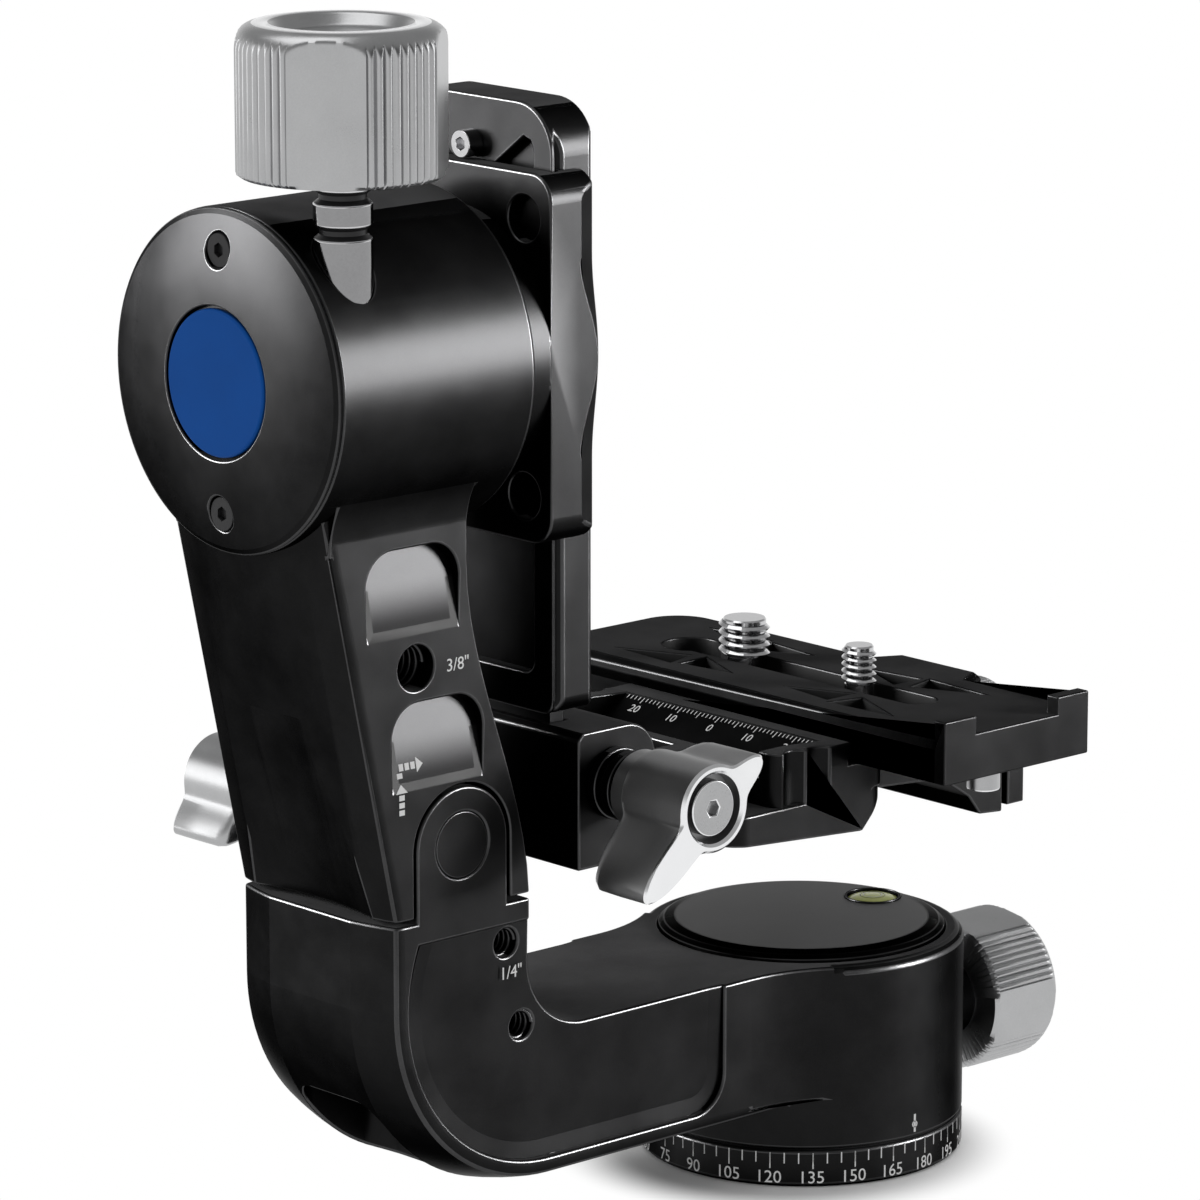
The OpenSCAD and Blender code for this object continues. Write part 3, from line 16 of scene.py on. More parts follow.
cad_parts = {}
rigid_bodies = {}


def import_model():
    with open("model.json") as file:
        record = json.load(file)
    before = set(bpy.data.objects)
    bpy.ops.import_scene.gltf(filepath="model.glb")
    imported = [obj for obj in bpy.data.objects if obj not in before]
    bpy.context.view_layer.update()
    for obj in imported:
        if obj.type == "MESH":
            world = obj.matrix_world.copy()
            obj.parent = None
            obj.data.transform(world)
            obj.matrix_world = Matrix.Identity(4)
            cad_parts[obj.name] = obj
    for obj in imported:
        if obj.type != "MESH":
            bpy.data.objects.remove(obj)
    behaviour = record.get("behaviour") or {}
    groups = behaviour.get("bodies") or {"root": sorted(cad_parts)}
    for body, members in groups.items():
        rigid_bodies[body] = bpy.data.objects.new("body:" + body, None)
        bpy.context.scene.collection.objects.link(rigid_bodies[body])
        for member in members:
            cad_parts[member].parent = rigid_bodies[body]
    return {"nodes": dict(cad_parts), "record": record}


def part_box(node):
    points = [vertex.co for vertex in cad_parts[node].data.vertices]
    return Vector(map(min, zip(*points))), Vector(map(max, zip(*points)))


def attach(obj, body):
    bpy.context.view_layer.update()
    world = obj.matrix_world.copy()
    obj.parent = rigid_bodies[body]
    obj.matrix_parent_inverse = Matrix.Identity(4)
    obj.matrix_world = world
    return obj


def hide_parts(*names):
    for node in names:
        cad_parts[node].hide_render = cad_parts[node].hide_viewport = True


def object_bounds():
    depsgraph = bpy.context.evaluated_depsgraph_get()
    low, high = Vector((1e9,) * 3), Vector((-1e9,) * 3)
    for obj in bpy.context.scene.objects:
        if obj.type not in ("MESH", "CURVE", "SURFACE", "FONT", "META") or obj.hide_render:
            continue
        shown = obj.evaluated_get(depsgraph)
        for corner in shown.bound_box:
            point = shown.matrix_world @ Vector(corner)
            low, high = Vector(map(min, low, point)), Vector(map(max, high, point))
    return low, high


bl_info = {
    "name": "Side-arm gimbal head",
    "version": (1, 0, 0),
    "blender": (4, 5, 0),
    "location": "View3D > Sidebar > Gimbal head",
    "description": "Dresses the packed gimbal head with edges, finishes, threads and scales",
    "category": "Object",
}

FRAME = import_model()
CAD_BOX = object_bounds()
NODES = FRAME["nodes"]
BODIES = FRAME["record"]["behaviour"]["bodies"]
BODY_OF = {node: body for body, members in BODIES.items() for node in members}
MM = 0.001

# Axes and sizes shared with the part's source, in millimetres
BASE_R = 30.0
HALF_ARM = 20.5
TILT_STEM = (-126.0, -20.0)
TILT_KNOB_Z = 197.0
TILT_Z = 160.7
PAN_LOCK_Z = 20.5
PAN_KNOB_X = 38.0
QR_Z = 70.7
QR_KNOB_X = 33.4
FOLD_PIN = (-100.9, 78.6)
FOLD_LEVER_Y = 30.0
FOLD_LEVER_TURN = 105.6
LOCK_AXIS = (-67.4, 84.3)
LOCK_LEVER_Y = -32.0
LEVER_L = 16.0
LEVER_NECK = 3.0
LEVER_HUB_R = 7.8
LEVER_CAP_R = 6.2
LEVER_CAP_D = 3.0
LEVER_BORE_R = 4.02
PLATE_X = 1.0
PLATE_LOW = 80.6
PLATE_TOP = 88.9
PLATE_HALF = 18.3
PLATE_END = 53.5
PLATE_CORNER = 9.0
SCREW_OUT = 7.6
ACC_LARGE = (-111.1, 111.3)
ACC_SMALL = ((-90.7, 59.2), (-86.8, 43.6))


class HeadSizes(bpy.types.PropertyGroup):
    """Sizes of the drawn detail."""

    edge_scale: bpy.props.FloatProperty(
        name="Edge factor", description="Widens or narrows the broken edges of every piece",
        default=1.0, min=0.2, max=1.5, subtype="FACTOR")
    rib_count: bpy.props.IntProperty(
        name="Ribs", description="Ribs in each grip zone of a knob", default=9, min=4, max=14)
    rib_pitch: bpy.props.FloatProperty(
        name="Rib pitch", description="Angle from one rib of a knob to the next",
        default=math.radians(5.2), subtype="ANGLE")
    tick_step: bpy.props.IntProperty(
        name="Tick step", description="Degrees between the ticks of the pan scale", default=5)
    label_step: bpy.props.IntProperty(
        name="Number step", description="Degrees between the numbers of the pan scale", default=15)
    label_height: bpy.props.FloatProperty(
        name="Number height", description="Height of the numbers on the pan scale",
        default=2.3 * MM, unit="LENGTH", precision=5)
    large_pitch: bpy.props.FloatProperty(
        name="3/8 inch pitch", description="Pitch of the 3/8 inch thread",
        default=25.4 / 16 * MM, unit="LENGTH", precision=6)
    small_pitch: bpy.props.FloatProperty(
        name="1/4 inch pitch", description="Pitch of the 1/4 inch thread",
        default=25.4 / 20 * MM, unit="LENGTH", precision=6)


class HeadFinishes(bpy.types.PropertyGroup):
    """Colours of the finishes, linear."""

    black: bpy.props.FloatVectorProperty(
        name="Black anodised", description="Colour of the arm, the housings and the plate",
        default=(0.0115, 0.0115, 0.0117), subtype="COLOR", min=0, max=1)
    edge: bpy.props.FloatVectorProperty(
        name="Worn edge", description="Colour of the broken edges of the black pieces",
        default=(0.05, 0.05, 0.051), subtype="COLOR", min=0, max=1)
    cap: bpy.props.FloatVectorProperty(
        name="Cap disc", description="Colour of the satin cap on the base",
        default=(0.1, 0.1, 0.101), subtype="COLOR", min=0, max=1)
    silver: bpy.props.FloatVectorProperty(
        name="Silver anodised", description="Colour of the knobs and the fold lever",
        default=(0.42, 0.423, 0.428), subtype="COLOR", min=0, max=1)
    lever: bpy.props.FloatVectorProperty(
        name="Lever grey", description="Colour of the platform's lever",
        default=(0.32, 0.32, 0.323), subtype="COLOR", min=0, max=1)
    steel: bpy.props.FloatVectorProperty(
        name="Polished steel", description="Colour of the stem and the camera screws",
        default=(0.60, 0.60, 0.61), subtype="COLOR", min=0, max=1)
    dark_steel: bpy.props.FloatVectorProperty(
        name="Black oxide", description="Colour of the small cap screws and the stem's grooves",
        default=(0.03, 0.03, 0.031), subtype="COLOR", min=0, max=1)
    brass: bpy.props.FloatVectorProperty(
        name="Brass", description="Colour of the brake shoes",
        default=(0.55, 0.38, 0.12), subtype="COLOR", min=0, max=1)
    badge: bpy.props.FloatVectorProperty(
        name="Badge", description="Colour of the bare round badge",
        default=(0.004, 0.062, 0.27), subtype="COLOR", min=0, max=1)
    fluid: bpy.props.FloatVectorProperty(
        name="Level fluid", description="Colour of the bubble level's fluid",
        default=(0.72, 0.78, 0.22), subtype="COLOR", min=0, max=1)
    ink: bpy.props.FloatVectorProperty(
        name="White print", description="Colour of the scales and the labels",
        default=(0.78, 0.78, 0.78), subtype="COLOR", min=0, max=1)


def sizes():
    return bpy.context.scene.head_sizes


def colours():
    return bpy.context.scene.head_finishes


class Value:
    """A socket that carries a number, with operators that add Math nodes."""

    def __init__(self, nodes, socket):
        self.nodes = nodes
        self.socket = socket

    def math(self, operation, first, second):
        made = self.nodes.add("ShaderNodeMath", {"operation": operation}, {0: first, 1: second})
        return Value(self.nodes, made.outputs[0])

    def __add__(self, other):
        return self.math("ADD", self, other)

    def __radd__(self, other):
        return self.math("ADD", other, self)

    def __sub__(self, other):
        return self.math("SUBTRACT", self, other)

    def __rsub__(self, other):
        return self.math("SUBTRACT", other, self)

    def __mul__(self, other):
        return self.math("MULTIPLY", self, other)

    def __rmul__(self, other):
        return self.math("MULTIPLY", other, self)

    def at_least(self, other):
        return self.math("MAXIMUM", self, other)


class Nodes:
    """Adds nodes to a shader tree or a geometry tree."""

    def __init__(self, tree):
        self.tree = tree

    def add(self, kind, settings=None, inputs=None):
        made = self.tree.nodes.new(kind)
        settings = dict(settings or {})
        for place, (position, colour) in enumerate(settings.pop("stops", ())):
            elements = made.color_ramp.elements
            stop = elements[place] if place < 2 else elements.new(position)
            stop.position = position
            stop.color = colour
        for name, value in settings.items():
            setattr(made, name, value)
        for key, value in (inputs or {}).items():
            if isinstance(value, Value):
                value = value.socket
            if isinstance(value, bpy.types.NodeSocket):
                self.tree.links.new(value, made.inputs[key])
            else:
                made.inputs[key].default_value = value
        return made

    def value(self, node, output=0):
        return Value(self, node.outputs[output])


def opaque(colour):
    return (colour[0], colour[1], colour[2], 1.0)


def scaled(colour, factor):
    return tuple(min(1.0, channel * factor) for channel in colour)


def faded(nodes, tint, place, depths):
    """A colour that is dark at the arm's side and full further in, between two depths in millimetres."""
    dark = 0.14
    across = nodes.add("ShaderNodeSeparateXYZ", None, {"Vector": place}).outputs["Y"]
    off = nodes.value(nodes.add("ShaderNodeMath", {"operation": "ABSOLUTE"}, {0: across}))
    share = nodes.add("ShaderNodeMapRange", {"interpolation_type": "SMOOTHSTEP"}, {
        "Value": HALF_ARM * MM - off, "From Min": depths[0] * MM, "From Max": depths[1] * MM,
        "To Min": dark})
    return nodes.add("ShaderNodeVectorMath", {"operation": "SCALE"}, {
        0: tint, "Scale": share.outputs["Result"]}).outputs["Vector"]


def metal_finish(name, colour, roughness, grain, metallic=1.0, specular=0.5, spread=0.25,
                 rough_spread=0.06, coat=0.0, rim=1.0, fade=None):
    """A machined or blasted finish: fine grain in the bump, and clouded colour and gloss.

    grain holds the size of the grain and the depth of its bump, in millimetres.
    spread and rough_spread say how far the colour and the roughness stray.
    rim is the strength of a metal's reflections at a grazing angle.
    fade holds the two depths under the arm's side between which the colour comes up."""
    found = bpy.data.materials.get(name)
    if found:
        return found
    finish = bpy.data.materials.new(name)
    finish.use_nodes = True
    nodes = Nodes(finish.node_tree)
    shader = finish.node_tree.nodes["Principled BSDF"]
    place = nodes.add("ShaderNodeTexCoord").outputs["Object"]
    cloud = nodes.value(nodes.add("ShaderNodeTexNoise", None, {
        "Vector": place, "Scale": 90.0, "Detail": 4.0, "Roughness": 0.6}))
    grain_size, grain_depth = grain
    fine = nodes.value(nodes.add("ShaderNodeTexNoise", None, {
        "Vector": place, "Scale": 1.0 / (grain_size * MM), "Detail": 2.0, "Roughness": 0.55}))
    low = opaque(scaled(colour, 1 - spread))
    high = opaque(scaled(colour, 1 + spread))
    ramp = nodes.add("ShaderNodeValToRGB", {"stops": ((0.3, low), (0.7, high))}, {
        "Fac": cloud * 0.6 + fine * 0.4})
    tint = ramp.outputs["Color"]
    if fade:
        tint = faded(nodes, tint, place, fade)
    gloss = roughness + (cloud - 0.5) * rough_spread * 2 + (fine - 0.5) * rough_spread
    bump = nodes.add("ShaderNodeBump", None, {
        "Strength": 0.6, "Distance": grain_depth * MM, "Height": fine})
    links = finish.node_tree.links
    links.new(tint, shader.inputs["Base Color"])
    links.new(gloss.at_least(0.05).socket, shader.inputs["Roughness"])
    links.new(bump.outputs["Normal"], shader.inputs["Normal"])
    shader.inputs["Metallic"].default_value = metallic
    shader.inputs["Specular IOR Level"].default_value = specular
    shader.inputs["Specular Tint"].default_value = (rim, rim, rim, 1)
    shader.inputs["Coat Weight"].default_value = coat
    shader.inputs["Coat Roughness"].default_value = 0.12
    return finish


# Grains that several finishes share: size and depth of the bump in millimetres
BLASTED = (0.22, 0.006)
CUT_EDGE = (0.3, 0.004)
POLISHED = (0.5, 0.003)


def black_anodised():
    return metal_finish("arm_black", colours().black, 0.33, BLASTED, rim=0.35)


def black_edge():
    return metal_finish("arm_black_edge", colours().edge, 0.32, CUT_EDGE, rim=0.5)


def scoop_black():
    return metal_finish("scoop_black", colours().black, 0.33, BLASTED, rim=0.35, fade=(0.4, 2.0))


def plate_edge():
    return metal_finish("plate_edge", scaled(colours().edge, 0.4), 0.36, CUT_EDGE, rim=0.35)


def top_black():
    grey = scaled(colours().black, 2.0)
    return metal_finish("top_black", grey, 0.6, BLASTED, metallic=0.0, specular=0.0)


def plate_top_black():
    return metal_finish("plate_top_black", colours().black, 0.6, BLASTED, metallic=0.0, specular=0.0)


def pocket_black():
    dark = scaled(colours().black, 0.25)
    return metal_finish("pocket_black", dark, 0.5, BLASTED, metallic=0.0, specular=0.1)


def satin_cap():
    return metal_finish("cap_satin", colours().cap, 0.5, (0.25, 0.012), metallic=0.0, specular=0.35)


def silver_anodised():
    return metal_finish("knob_silver", colours().silver, 0.3, (0.24, 0.018), spread=0.10)


def lever_grey():
    return metal_finish("lever_grey", colours().lever, 0.42, (0.24, 0.014), spread=0.10)


def silver_edge():
    return metal_finish("knob_silver_edge", scaled(colours().silver, 2.0), 0.2, CUT_EDGE, spread=0.05)


def polished_steel():
    return metal_finish("polished_steel", colours().steel, 0.16, POLISHED, spread=0.08,
                        rough_spread=0.03)


def stem_steel():
    dark = scaled(colours().steel, 0.45)
    return metal_finish("stem_steel", dark, 0.12, POLISHED, spread=0.08, rough_spread=0.03)


def black_oxide():
    return metal_finish("black_oxide", colours().dark_steel, 0.36, (0.2, 0.008), metallic=0.6,
                        specular=0.4)


def machined_brass():
    return metal_finish("machined_brass", colours().brass, 0.28, (0.3, 0.006), spread=0.12)


def badge_blue():
    return metal_finish("badge_blue", colours().badge, 0.36, (0.2, 0.006), metallic=0.0, specular=0.05,
                        spread=0.10)


def level_fluid():
    return metal_finish("level_lime", colours().fluid, 0.2, (0.8, 0.002), metallic=0.0, specular=0.3,
                        spread=0.12, rough_spread=0.02, coat=0.2)


def white_print():
    return metal_finish("white_print", colours().ink, 0.5, (0.1, 0.004), metallic=0.0, specular=0.3,
                        spread=0.06)


def add_piece(name, mesh, body, stands_for=()):
    """Links a finished mesh as a piece of the head and puts it on its body."""
    piece = bpy.data.objects.new(name, mesh)
    bpy.context.scene.collection.objects.link(piece)
    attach(piece, body)
    if stands_for:
        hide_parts(*stands_for)
    return piece


def evaluated_mesh(carrier):
    """The mesh of an object with its modifiers applied. The object is removed."""
    bpy.context.view_layer.update()
    ready = carrier.evaluated_get(bpy.context.evaluated_depsgraph_get())
    mesh = bpy.data.meshes.new_from_object(ready)
    bpy.data.objects.remove(carrier)
    return mesh


def split_sharp(work, angle):
    """Shades a bmesh smooth, with a crease at every edge sharper than the angle."""
    for face in work.faces:
        face.smooth = True
    for edge in work.edges:
        edge.smooth = edge.is_manifold and edge.calc_face_angle(0.0) < angle


def mean_near(normal, others, least):
    """The mean of the directions that lie within an angle of a normal."""
    total = Vector()
    for other in others:
        if normal.dot(other) > math.cos(least):
            total += other
    return total.normalized() if total.length > 0 else normal


def solid_normals(mesh, solid, least):
    """The solid's own normals for the faces, and for the broken edges those of the faces they join."""
    solid.calc_loop_triangles()
    places = [vert.co.copy() for vert in solid.vertices]
    corners = [tuple(tri.vertices) for tri in solid.loop_triangles]
    shades = [[solid.corner_normals[loop].vector.copy() for loop in tri.loops]
              for tri in solid.loop_triangles]
    tree = BVHTree.FromPolygons(places, corners)
    around = [[] for vert in mesh.vertices]
    for face in mesh.polygons:
        for vert in face.vertices:
            around[vert].append(face.normal.copy())
    mesh.calc_loop_triangles()
    normals = [None] * len(mesh.loops)
    settled = [[] for vert in mesh.vertices]
    inset = 0.06
    for tri in mesh.loop_triangles:
        face = mesh.polygons[tri.polygon_index]
        if face.material_index:
            continue
        middle = sum((mesh.vertices[vert].co for vert in tri.vertices), Vector()) / 3
        for loop, vert in zip(tri.loops, tri.vertices):
            if normals[loop]:
                continue
            spot = mesh.vertices[vert].co.lerp(middle, inset)
            found = tree.find_nearest(spot)[2]
            weights = poly_3d_calc([places[corner] for corner in corners[found]], spot)
            normal = sum((shade * weight for shade, weight in zip(shades[found], weights)), Vector())
            normal.normalize()
            if normal.dot(face.normal) < math.cos(least):
                normal = mean_near(face.normal, around[vert], least)
            normals[loop] = normal
            settled[vert].append(normal)
    for face in mesh.polygons:
        for loop, vert in zip(face.loop_indices, face.vertices):
            if not normals[loop]:
                choice = settled[vert]
                if choice:
                    normals[loop] = max(choice, key=face.normal.dot)
                else:
                    normals[loop] = mean_near(face.normal, around[vert], math.radians(60))
    return normals


def run_out(mesh, normals, least):
    """Lets a face that meets a larger one at a slight angle shade into it."""
    meeting = [[] for vert in mesh.vertices]
    for face in mesh.polygons:
        if face.material_index == 0:
            for loop, vert in zip(face.loop_indices, face.vertices):
                meeting[vert].append((face.area, loop))
    for corners in meeting:
        largest, lead = max(corners, default=(0, None))
        for area, loop in corners:
            if area < largest and normals[loop].dot(normals[lead]) > math.cos(least):
                normals[loop] = normals[lead]


def reshade(mesh, normals, shade):
    """Changes the normals of the plain faces by a rule on a corner's place in millimetres."""
    for face in mesh.polygons:
        if face.material_index == 0:
            for loop, vert in zip(face.loop_indices, face.vertices):
                normals[loop] = shade(mesh.vertices[vert].co / MM, normals[loop])


def edged_piece(node, finish, edge_finish, width, least=math.radians(24), chamfer=None,
                soft=False, shade=None, before=None, leave=None):
    """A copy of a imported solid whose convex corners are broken, with the edge in its own finish.

    width is the width of the broken edge in millimetres, and least the angle of a corner.
    chamfer holds a width and a test of an edge's middle: such edges get a plain chamfer first.
    soft lets scoops and blends shade into the face they run out to.
    shade is a rule that changes the normals of the plain faces.
    before is a step that works on the bare solid's faces first.
    leave is a test of an edge's middle: such edges stay sharp."""
    solid = NODES[node].data
    work = bmesh.new()
    work.from_mesh(solid)
    bmesh.ops.remove_doubles(work, verts=work.verts, dist=0.002 * MM)
    bmesh.ops.dissolve_limit(work, angle_limit=math.radians(0.25), verts=work.verts, edges=work.edges)
    for face in work.faces:
        face.material_index = 0
    if before:
        before(work)
    if chamfer:
        reach, wanted = chamfer
        picked = [edge for edge in work.edges if edge.is_manifold and edge.is_convex
                  and edge.calc_face_angle(0.0) > least
                  and wanted((edge.verts[0].co + edge.verts[1].co) / (2 * MM))]
        bmesh.ops.bevel(work, geom=picked, offset=reach * MM, offset_type="OFFSET", segments=1,
                        affect="EDGES", clamp_overlap=False)
    weight = work.edges.layers.float.new("bevel_weight_edge")
    split_sharp(work, least)
    for edge in work.edges:
        left = leave and leave((edge.verts[0].co + edge.verts[1].co) / (2 * MM))
        if edge.is_manifold and edge.is_convex and not edge.smooth and not left:
            edge[weight] = 1.0
    mesh = bpy.data.meshes.new(node + "_edged")
    work.to_mesh(mesh)
    work.free()
    mesh.materials.clear()
    mesh.materials.append(finish)
    mesh.materials.append(edge_finish)
    carrier = bpy.data.objects.new(node + "_carrier", mesh)
    bpy.context.scene.collection.objects.link(carrier)
    bevel = carrier.modifiers.new("Broken edge", "BEVEL")
    bevel.limit_method = "WEIGHT"
    bevel.width = width * MM * sizes().edge_scale
    bevel.segments = 2
    bevel.use_clamp_overlap = False
    bevel.material = 1
    made = evaluated_mesh(carrier)
    normals = solid_normals(made, solid, least)
    if soft:
        run_out(made, normals, least)
    if shade:
        reshade(made, normals, shade)
    made.normals_split_custom_set(normals)
    return add_piece(node + "_dressed", made, BODY_OF[node], (node,))


def grid_mesh(name, rows, finishes, picks=None, crease=math.radians(32)):
    """A closed skin through rings of points. The first and the last row are closed by a fan."""
    work = bmesh.new()
    rings = [[work.verts.new(point) for point in row] for row in rows]
    for low, (lower, upper) in enumerate(zip(rings, rings[1:])):
        count = len(lower)
        for place in range(count):
            after = (place + 1) % count
            face = work.faces.new((lower[place], lower[after], upper[after], upper[place]))
            face.material_index = picks[low] if picks else 0
    for ring, turn in ((rings[0], -1), (rings[-1], 1)):
        centre = work.verts.new(sum((vert.co for vert in ring), Vector()) / len(ring))
        for place, vert in enumerate(ring):
            after = ring[(place + 1) % len(ring)]
            work.faces.new((vert, after, centre)[::turn])
    bmesh.ops.remove_doubles(work, verts=work.verts, dist=0.001 * MM)
    bmesh.ops.recalc_face_normals(work, faces=work.faces)
    split_sharp(work, crease)
    mesh = bpy.data.meshes.new(name)
    work.to_mesh(mesh)
    work.free()
    for finish in finishes:
        mesh.materials.append(finish)
    return mesh


def arc(centre, radius, start, end, steps):
    """Points on an arc in a radius and height drawing, angles in degrees."""
    points = []
    for step in range(steps + 1):
        turn = math.radians(start + (end - start) * step / steps)
        points.append((centre[0] + radius * math.cos(turn), centre[1] + radius * math.sin(turn)))
    return points


def polar_row(place, z, samples, reach_at):
    """A ring of points round the Z axis, in millimetres, put in its place. Angles are in degrees."""
    row = []
    for sample in range(samples):
        angle = 360 * sample / samples
        turn = math.radians(angle)
        reach = reach_at(angle)
        row.append(place @ (Vector((reach * math.cos(turn), reach * math.sin(turn), z)) * MM))
    return row


def round_rows(place, profile):
    """Rings of points for a turned piece, from radii and heights in millimetres."""
    return [polar_row(place, z, 64, lambda angle, r=r: r) for r, z in profile]


def turned(x, y, z, axis, angle, spin=0.0):
    """A placing matrix: moved to a point in millimetres, turned about an axis, spun about its own Z."""
    return (Matrix.Translation(Vector((x, y, z)) * MM)
            @ Matrix.Rotation(math.radians(angle), 4, axis)
            @ Matrix.Rotation(math.radians(spin), 4, "Z"))


def knob_mesh(name, place, radius, height, recess_r, recess_d, shoulder, bore_r, turn):
    """A clamping knob: four flats, ribbed grip zones between them, rounded shoulder, dished top."""
    flats = 4
    flat_at = radius * 0.93
    rib_depth = radius * 0.040
    ribs = sizes().rib_count
    pitch = math.degrees(sizes().rib_pitch)
    zone = ribs * pitch / 2
    samples = 720

    def grip(angle):
        step = 360 / flats
        near = (angle - turn) % step
        from_flat = min(near, step - near)
        limit = flat_at / math.cos(math.radians(from_flat))
        from_zone = near - step / 2
        if abs(from_zone) <= zone:
            wave = abs(math.sin(math.pi * (from_zone / pitch + ribs / 2)))
            limit = min(limit, radius - rib_depth * (1 - wave ** 0.7))
        return min(limit, radius)

    profile = [(bore_r, 0.4), (bore_r + 0.4, 0.0), (radius - 1.2, 0.0), (radius - 0.25, 0.65),
               (radius, 1.3), (radius, height * 0.4), (radius, height - shoulder)]
    profile += arc((radius - shoulder, height - shoulder), shoulder, 8, 78, 8)
    bright = len(profile) - 1
    floor = height - recess_d
    profile += [(radius - shoulder, height), (recess_r + 0.5, height), (recess_r, height - 0.35),
                (recess_r - 0.8, floor + 0.5), (recess_r - 1.6, floor), (recess_r * 0.5, floor - 0.1),
                (0.2, floor - 0.12)]
    rows = [polar_row(place, z, samples, lambda angle, r=r: min(r, grip(angle))) for r, z in profile]
    picks = [1 if row in (bright, bright + 1) else 0 for row in range(len(rows))]
    return grid_mesh(name, rows, (silver_anodised(), silver_edge()), picks, math.radians(40))


def lever_reach(angle, wing):
    """Reach of a lever's outline at an angle: a round hub with a long and a short wing."""
    def rise(at, reach):
        turn = max(0.0, math.cos(math.radians(angle - at)))
        return (reach - LEVER_HUB_R) * turn ** 30
    return LEVER_HUB_R + wing * (rise(220.4, 21.2) + rise(32.7, 13.5))


def lever_mesh(name, place, finish):
    """A wing lever: its wings sweep up from the neck, and its end face has a bright broken edge."""
    def hub(radius):
        return lambda angle: radius

    def winged(wing, inset=0.0):
        return lambda angle: lever_reach(angle, wing) - inset

    neck_r = LEVER_HUB_R - 0.8
    floor = LEVER_L - LEVER_CAP_D
    samples = 240
    stations = [(-LEVER_NECK, hub(LEVER_BORE_R), 0), (-LEVER_NECK, hub(neck_r), 0),
                (-0.2, hub(neck_r), 0), (0.0, winged(0.0, 0.6), 0), (0.6, winged(0.0, 0.1), 0),
                (1.4, winged(0.62), 0), (1.8, winged(0.8), 0), (2.6, winged(0.92), 0),
                (4.0, winged(0.99), 0), (9.0, winged(1.0), 0),
                (LEVER_L - 0.5, winged(1.0), 1), (LEVER_L, winged(1.0, 0.5), 1),
                (LEVER_L, hub(LEVER_CAP_R + 0.5), 1), (LEVER_L - 0.5, hub(LEVER_CAP_R), 0),
                (floor, hub(LEVER_CAP_R - 0.1), 0), (floor - 0.05, hub(0.3), 0)]
    rows = [polar_row(place, z, samples, reach_at) for z, reach_at, pick in stations]
    picks = [pick for z, reach_at, pick in stations]
    return grid_mesh(name, rows, (finish, silver_edge()), picks)


def grown_mesh(name, values, build, finish):
    """Runs a geometry node tree with named inputs and returns its result as a plain mesh."""
    tree = bpy.data.node_groups.new(name, "GeometryNodeTree")
    for label, value in values.items():
        kind = "NodeSocketInt" if isinstance(value, int) else "NodeSocketFloat"
        tree.interface.new_socket(label, in_out="INPUT", socket_type=kind)
    tree.interface.new_socket("Geometry", in_out="OUTPUT", socket_type="NodeSocketGeometry")
    nodes = Nodes(tree)
    given = nodes.add("NodeGroupInput").outputs
    grown = build(nodes, given)
    plain = nodes.add("GeometryNodeRealizeInstances", None, {"Geometry": grown})
    painted = nodes.add("GeometryNodeSetMaterial", None, {
        "Geometry": plain.outputs[0], "Material": finish})
    nodes.add("NodeGroupOutput", None, {"Geometry": painted.outputs[0]})
    carrier = bpy.data.objects.new(name, bpy.data.meshes.new(name))
    modifier = carrier.modifiers.new(name, "NODES")
    modifier.node_group = tree
    for item in tree.interface.items_tree:
        if item.in_out == "INPUT":
            modifier[item.identifier] = values[item.name]
    bpy.context.scene.collection.objects.link(carrier)
    mesh = evaluated_mesh(carrier)
    if not mesh.polygons:
        raise RuntimeError(name + " came out empty")
    mesh.name = name
    return mesh


def thread_mesh(name, radius, pitch, length, ridge, place, finish):
    """A thread's ridge: a diamond section swept along a spiral."""
    def build(nodes, given):
        spiral = nodes.add("GeometryNodeCurveSpiral", None, {
            "Resolution": 40, "Rotations": given["Turns"], "Start Radius": given["Radius"],
            "End Radius": given["Radius"], "Height": given["Length"]})
        upright = nodes.add("GeometryNodeSetCurveNormal", {"mode": "Z_UP"}, {
            "Curve": spiral.outputs[0]})
        section = nodes.add("GeometryNodeCurvePrimitiveCircle", {"mode": "RADIUS"}, {
            "Resolution": 4, "Radius": given["Ridge"]})
        swept = nodes.add("GeometryNodeCurveToMesh", None, {
            "Curve": upright.outputs[0], "Profile Curve": section.outputs[0], "Fill Caps": True})
        return swept.outputs[0]

    values = {"Turns": length / pitch, "Radius": radius, "Length": length, "Ridge": ridge / 2}
    mesh = grown_mesh(name, values, build, finish)
    mesh.transform(place)
    return mesh


def ring_mesh(name, radius, thick, place, finish):
    """A thin round ring."""
    def build(nodes, given):
        path = nodes.add("GeometryNodeCurvePrimitiveCircle", {"mode": "RADIUS"}, {
            "Resolution": 64, "Radius": given["Radius"]})
        section = nodes.add("GeometryNodeCurvePrimitiveCircle", {"mode": "RADIUS"}, {
            "Resolution": 8, "Radius": given["Thick"]})
        swept = nodes.add("GeometryNodeCurveToMesh", None, {
            "Curve": path.outputs[0], "Profile Curve": section.outputs[0]})
        return swept.outputs[0]

    mesh = grown_mesh(name, {"Radius": radius, "Thick": thick}, build, finish)
    mesh.transform(place)
    return mesh


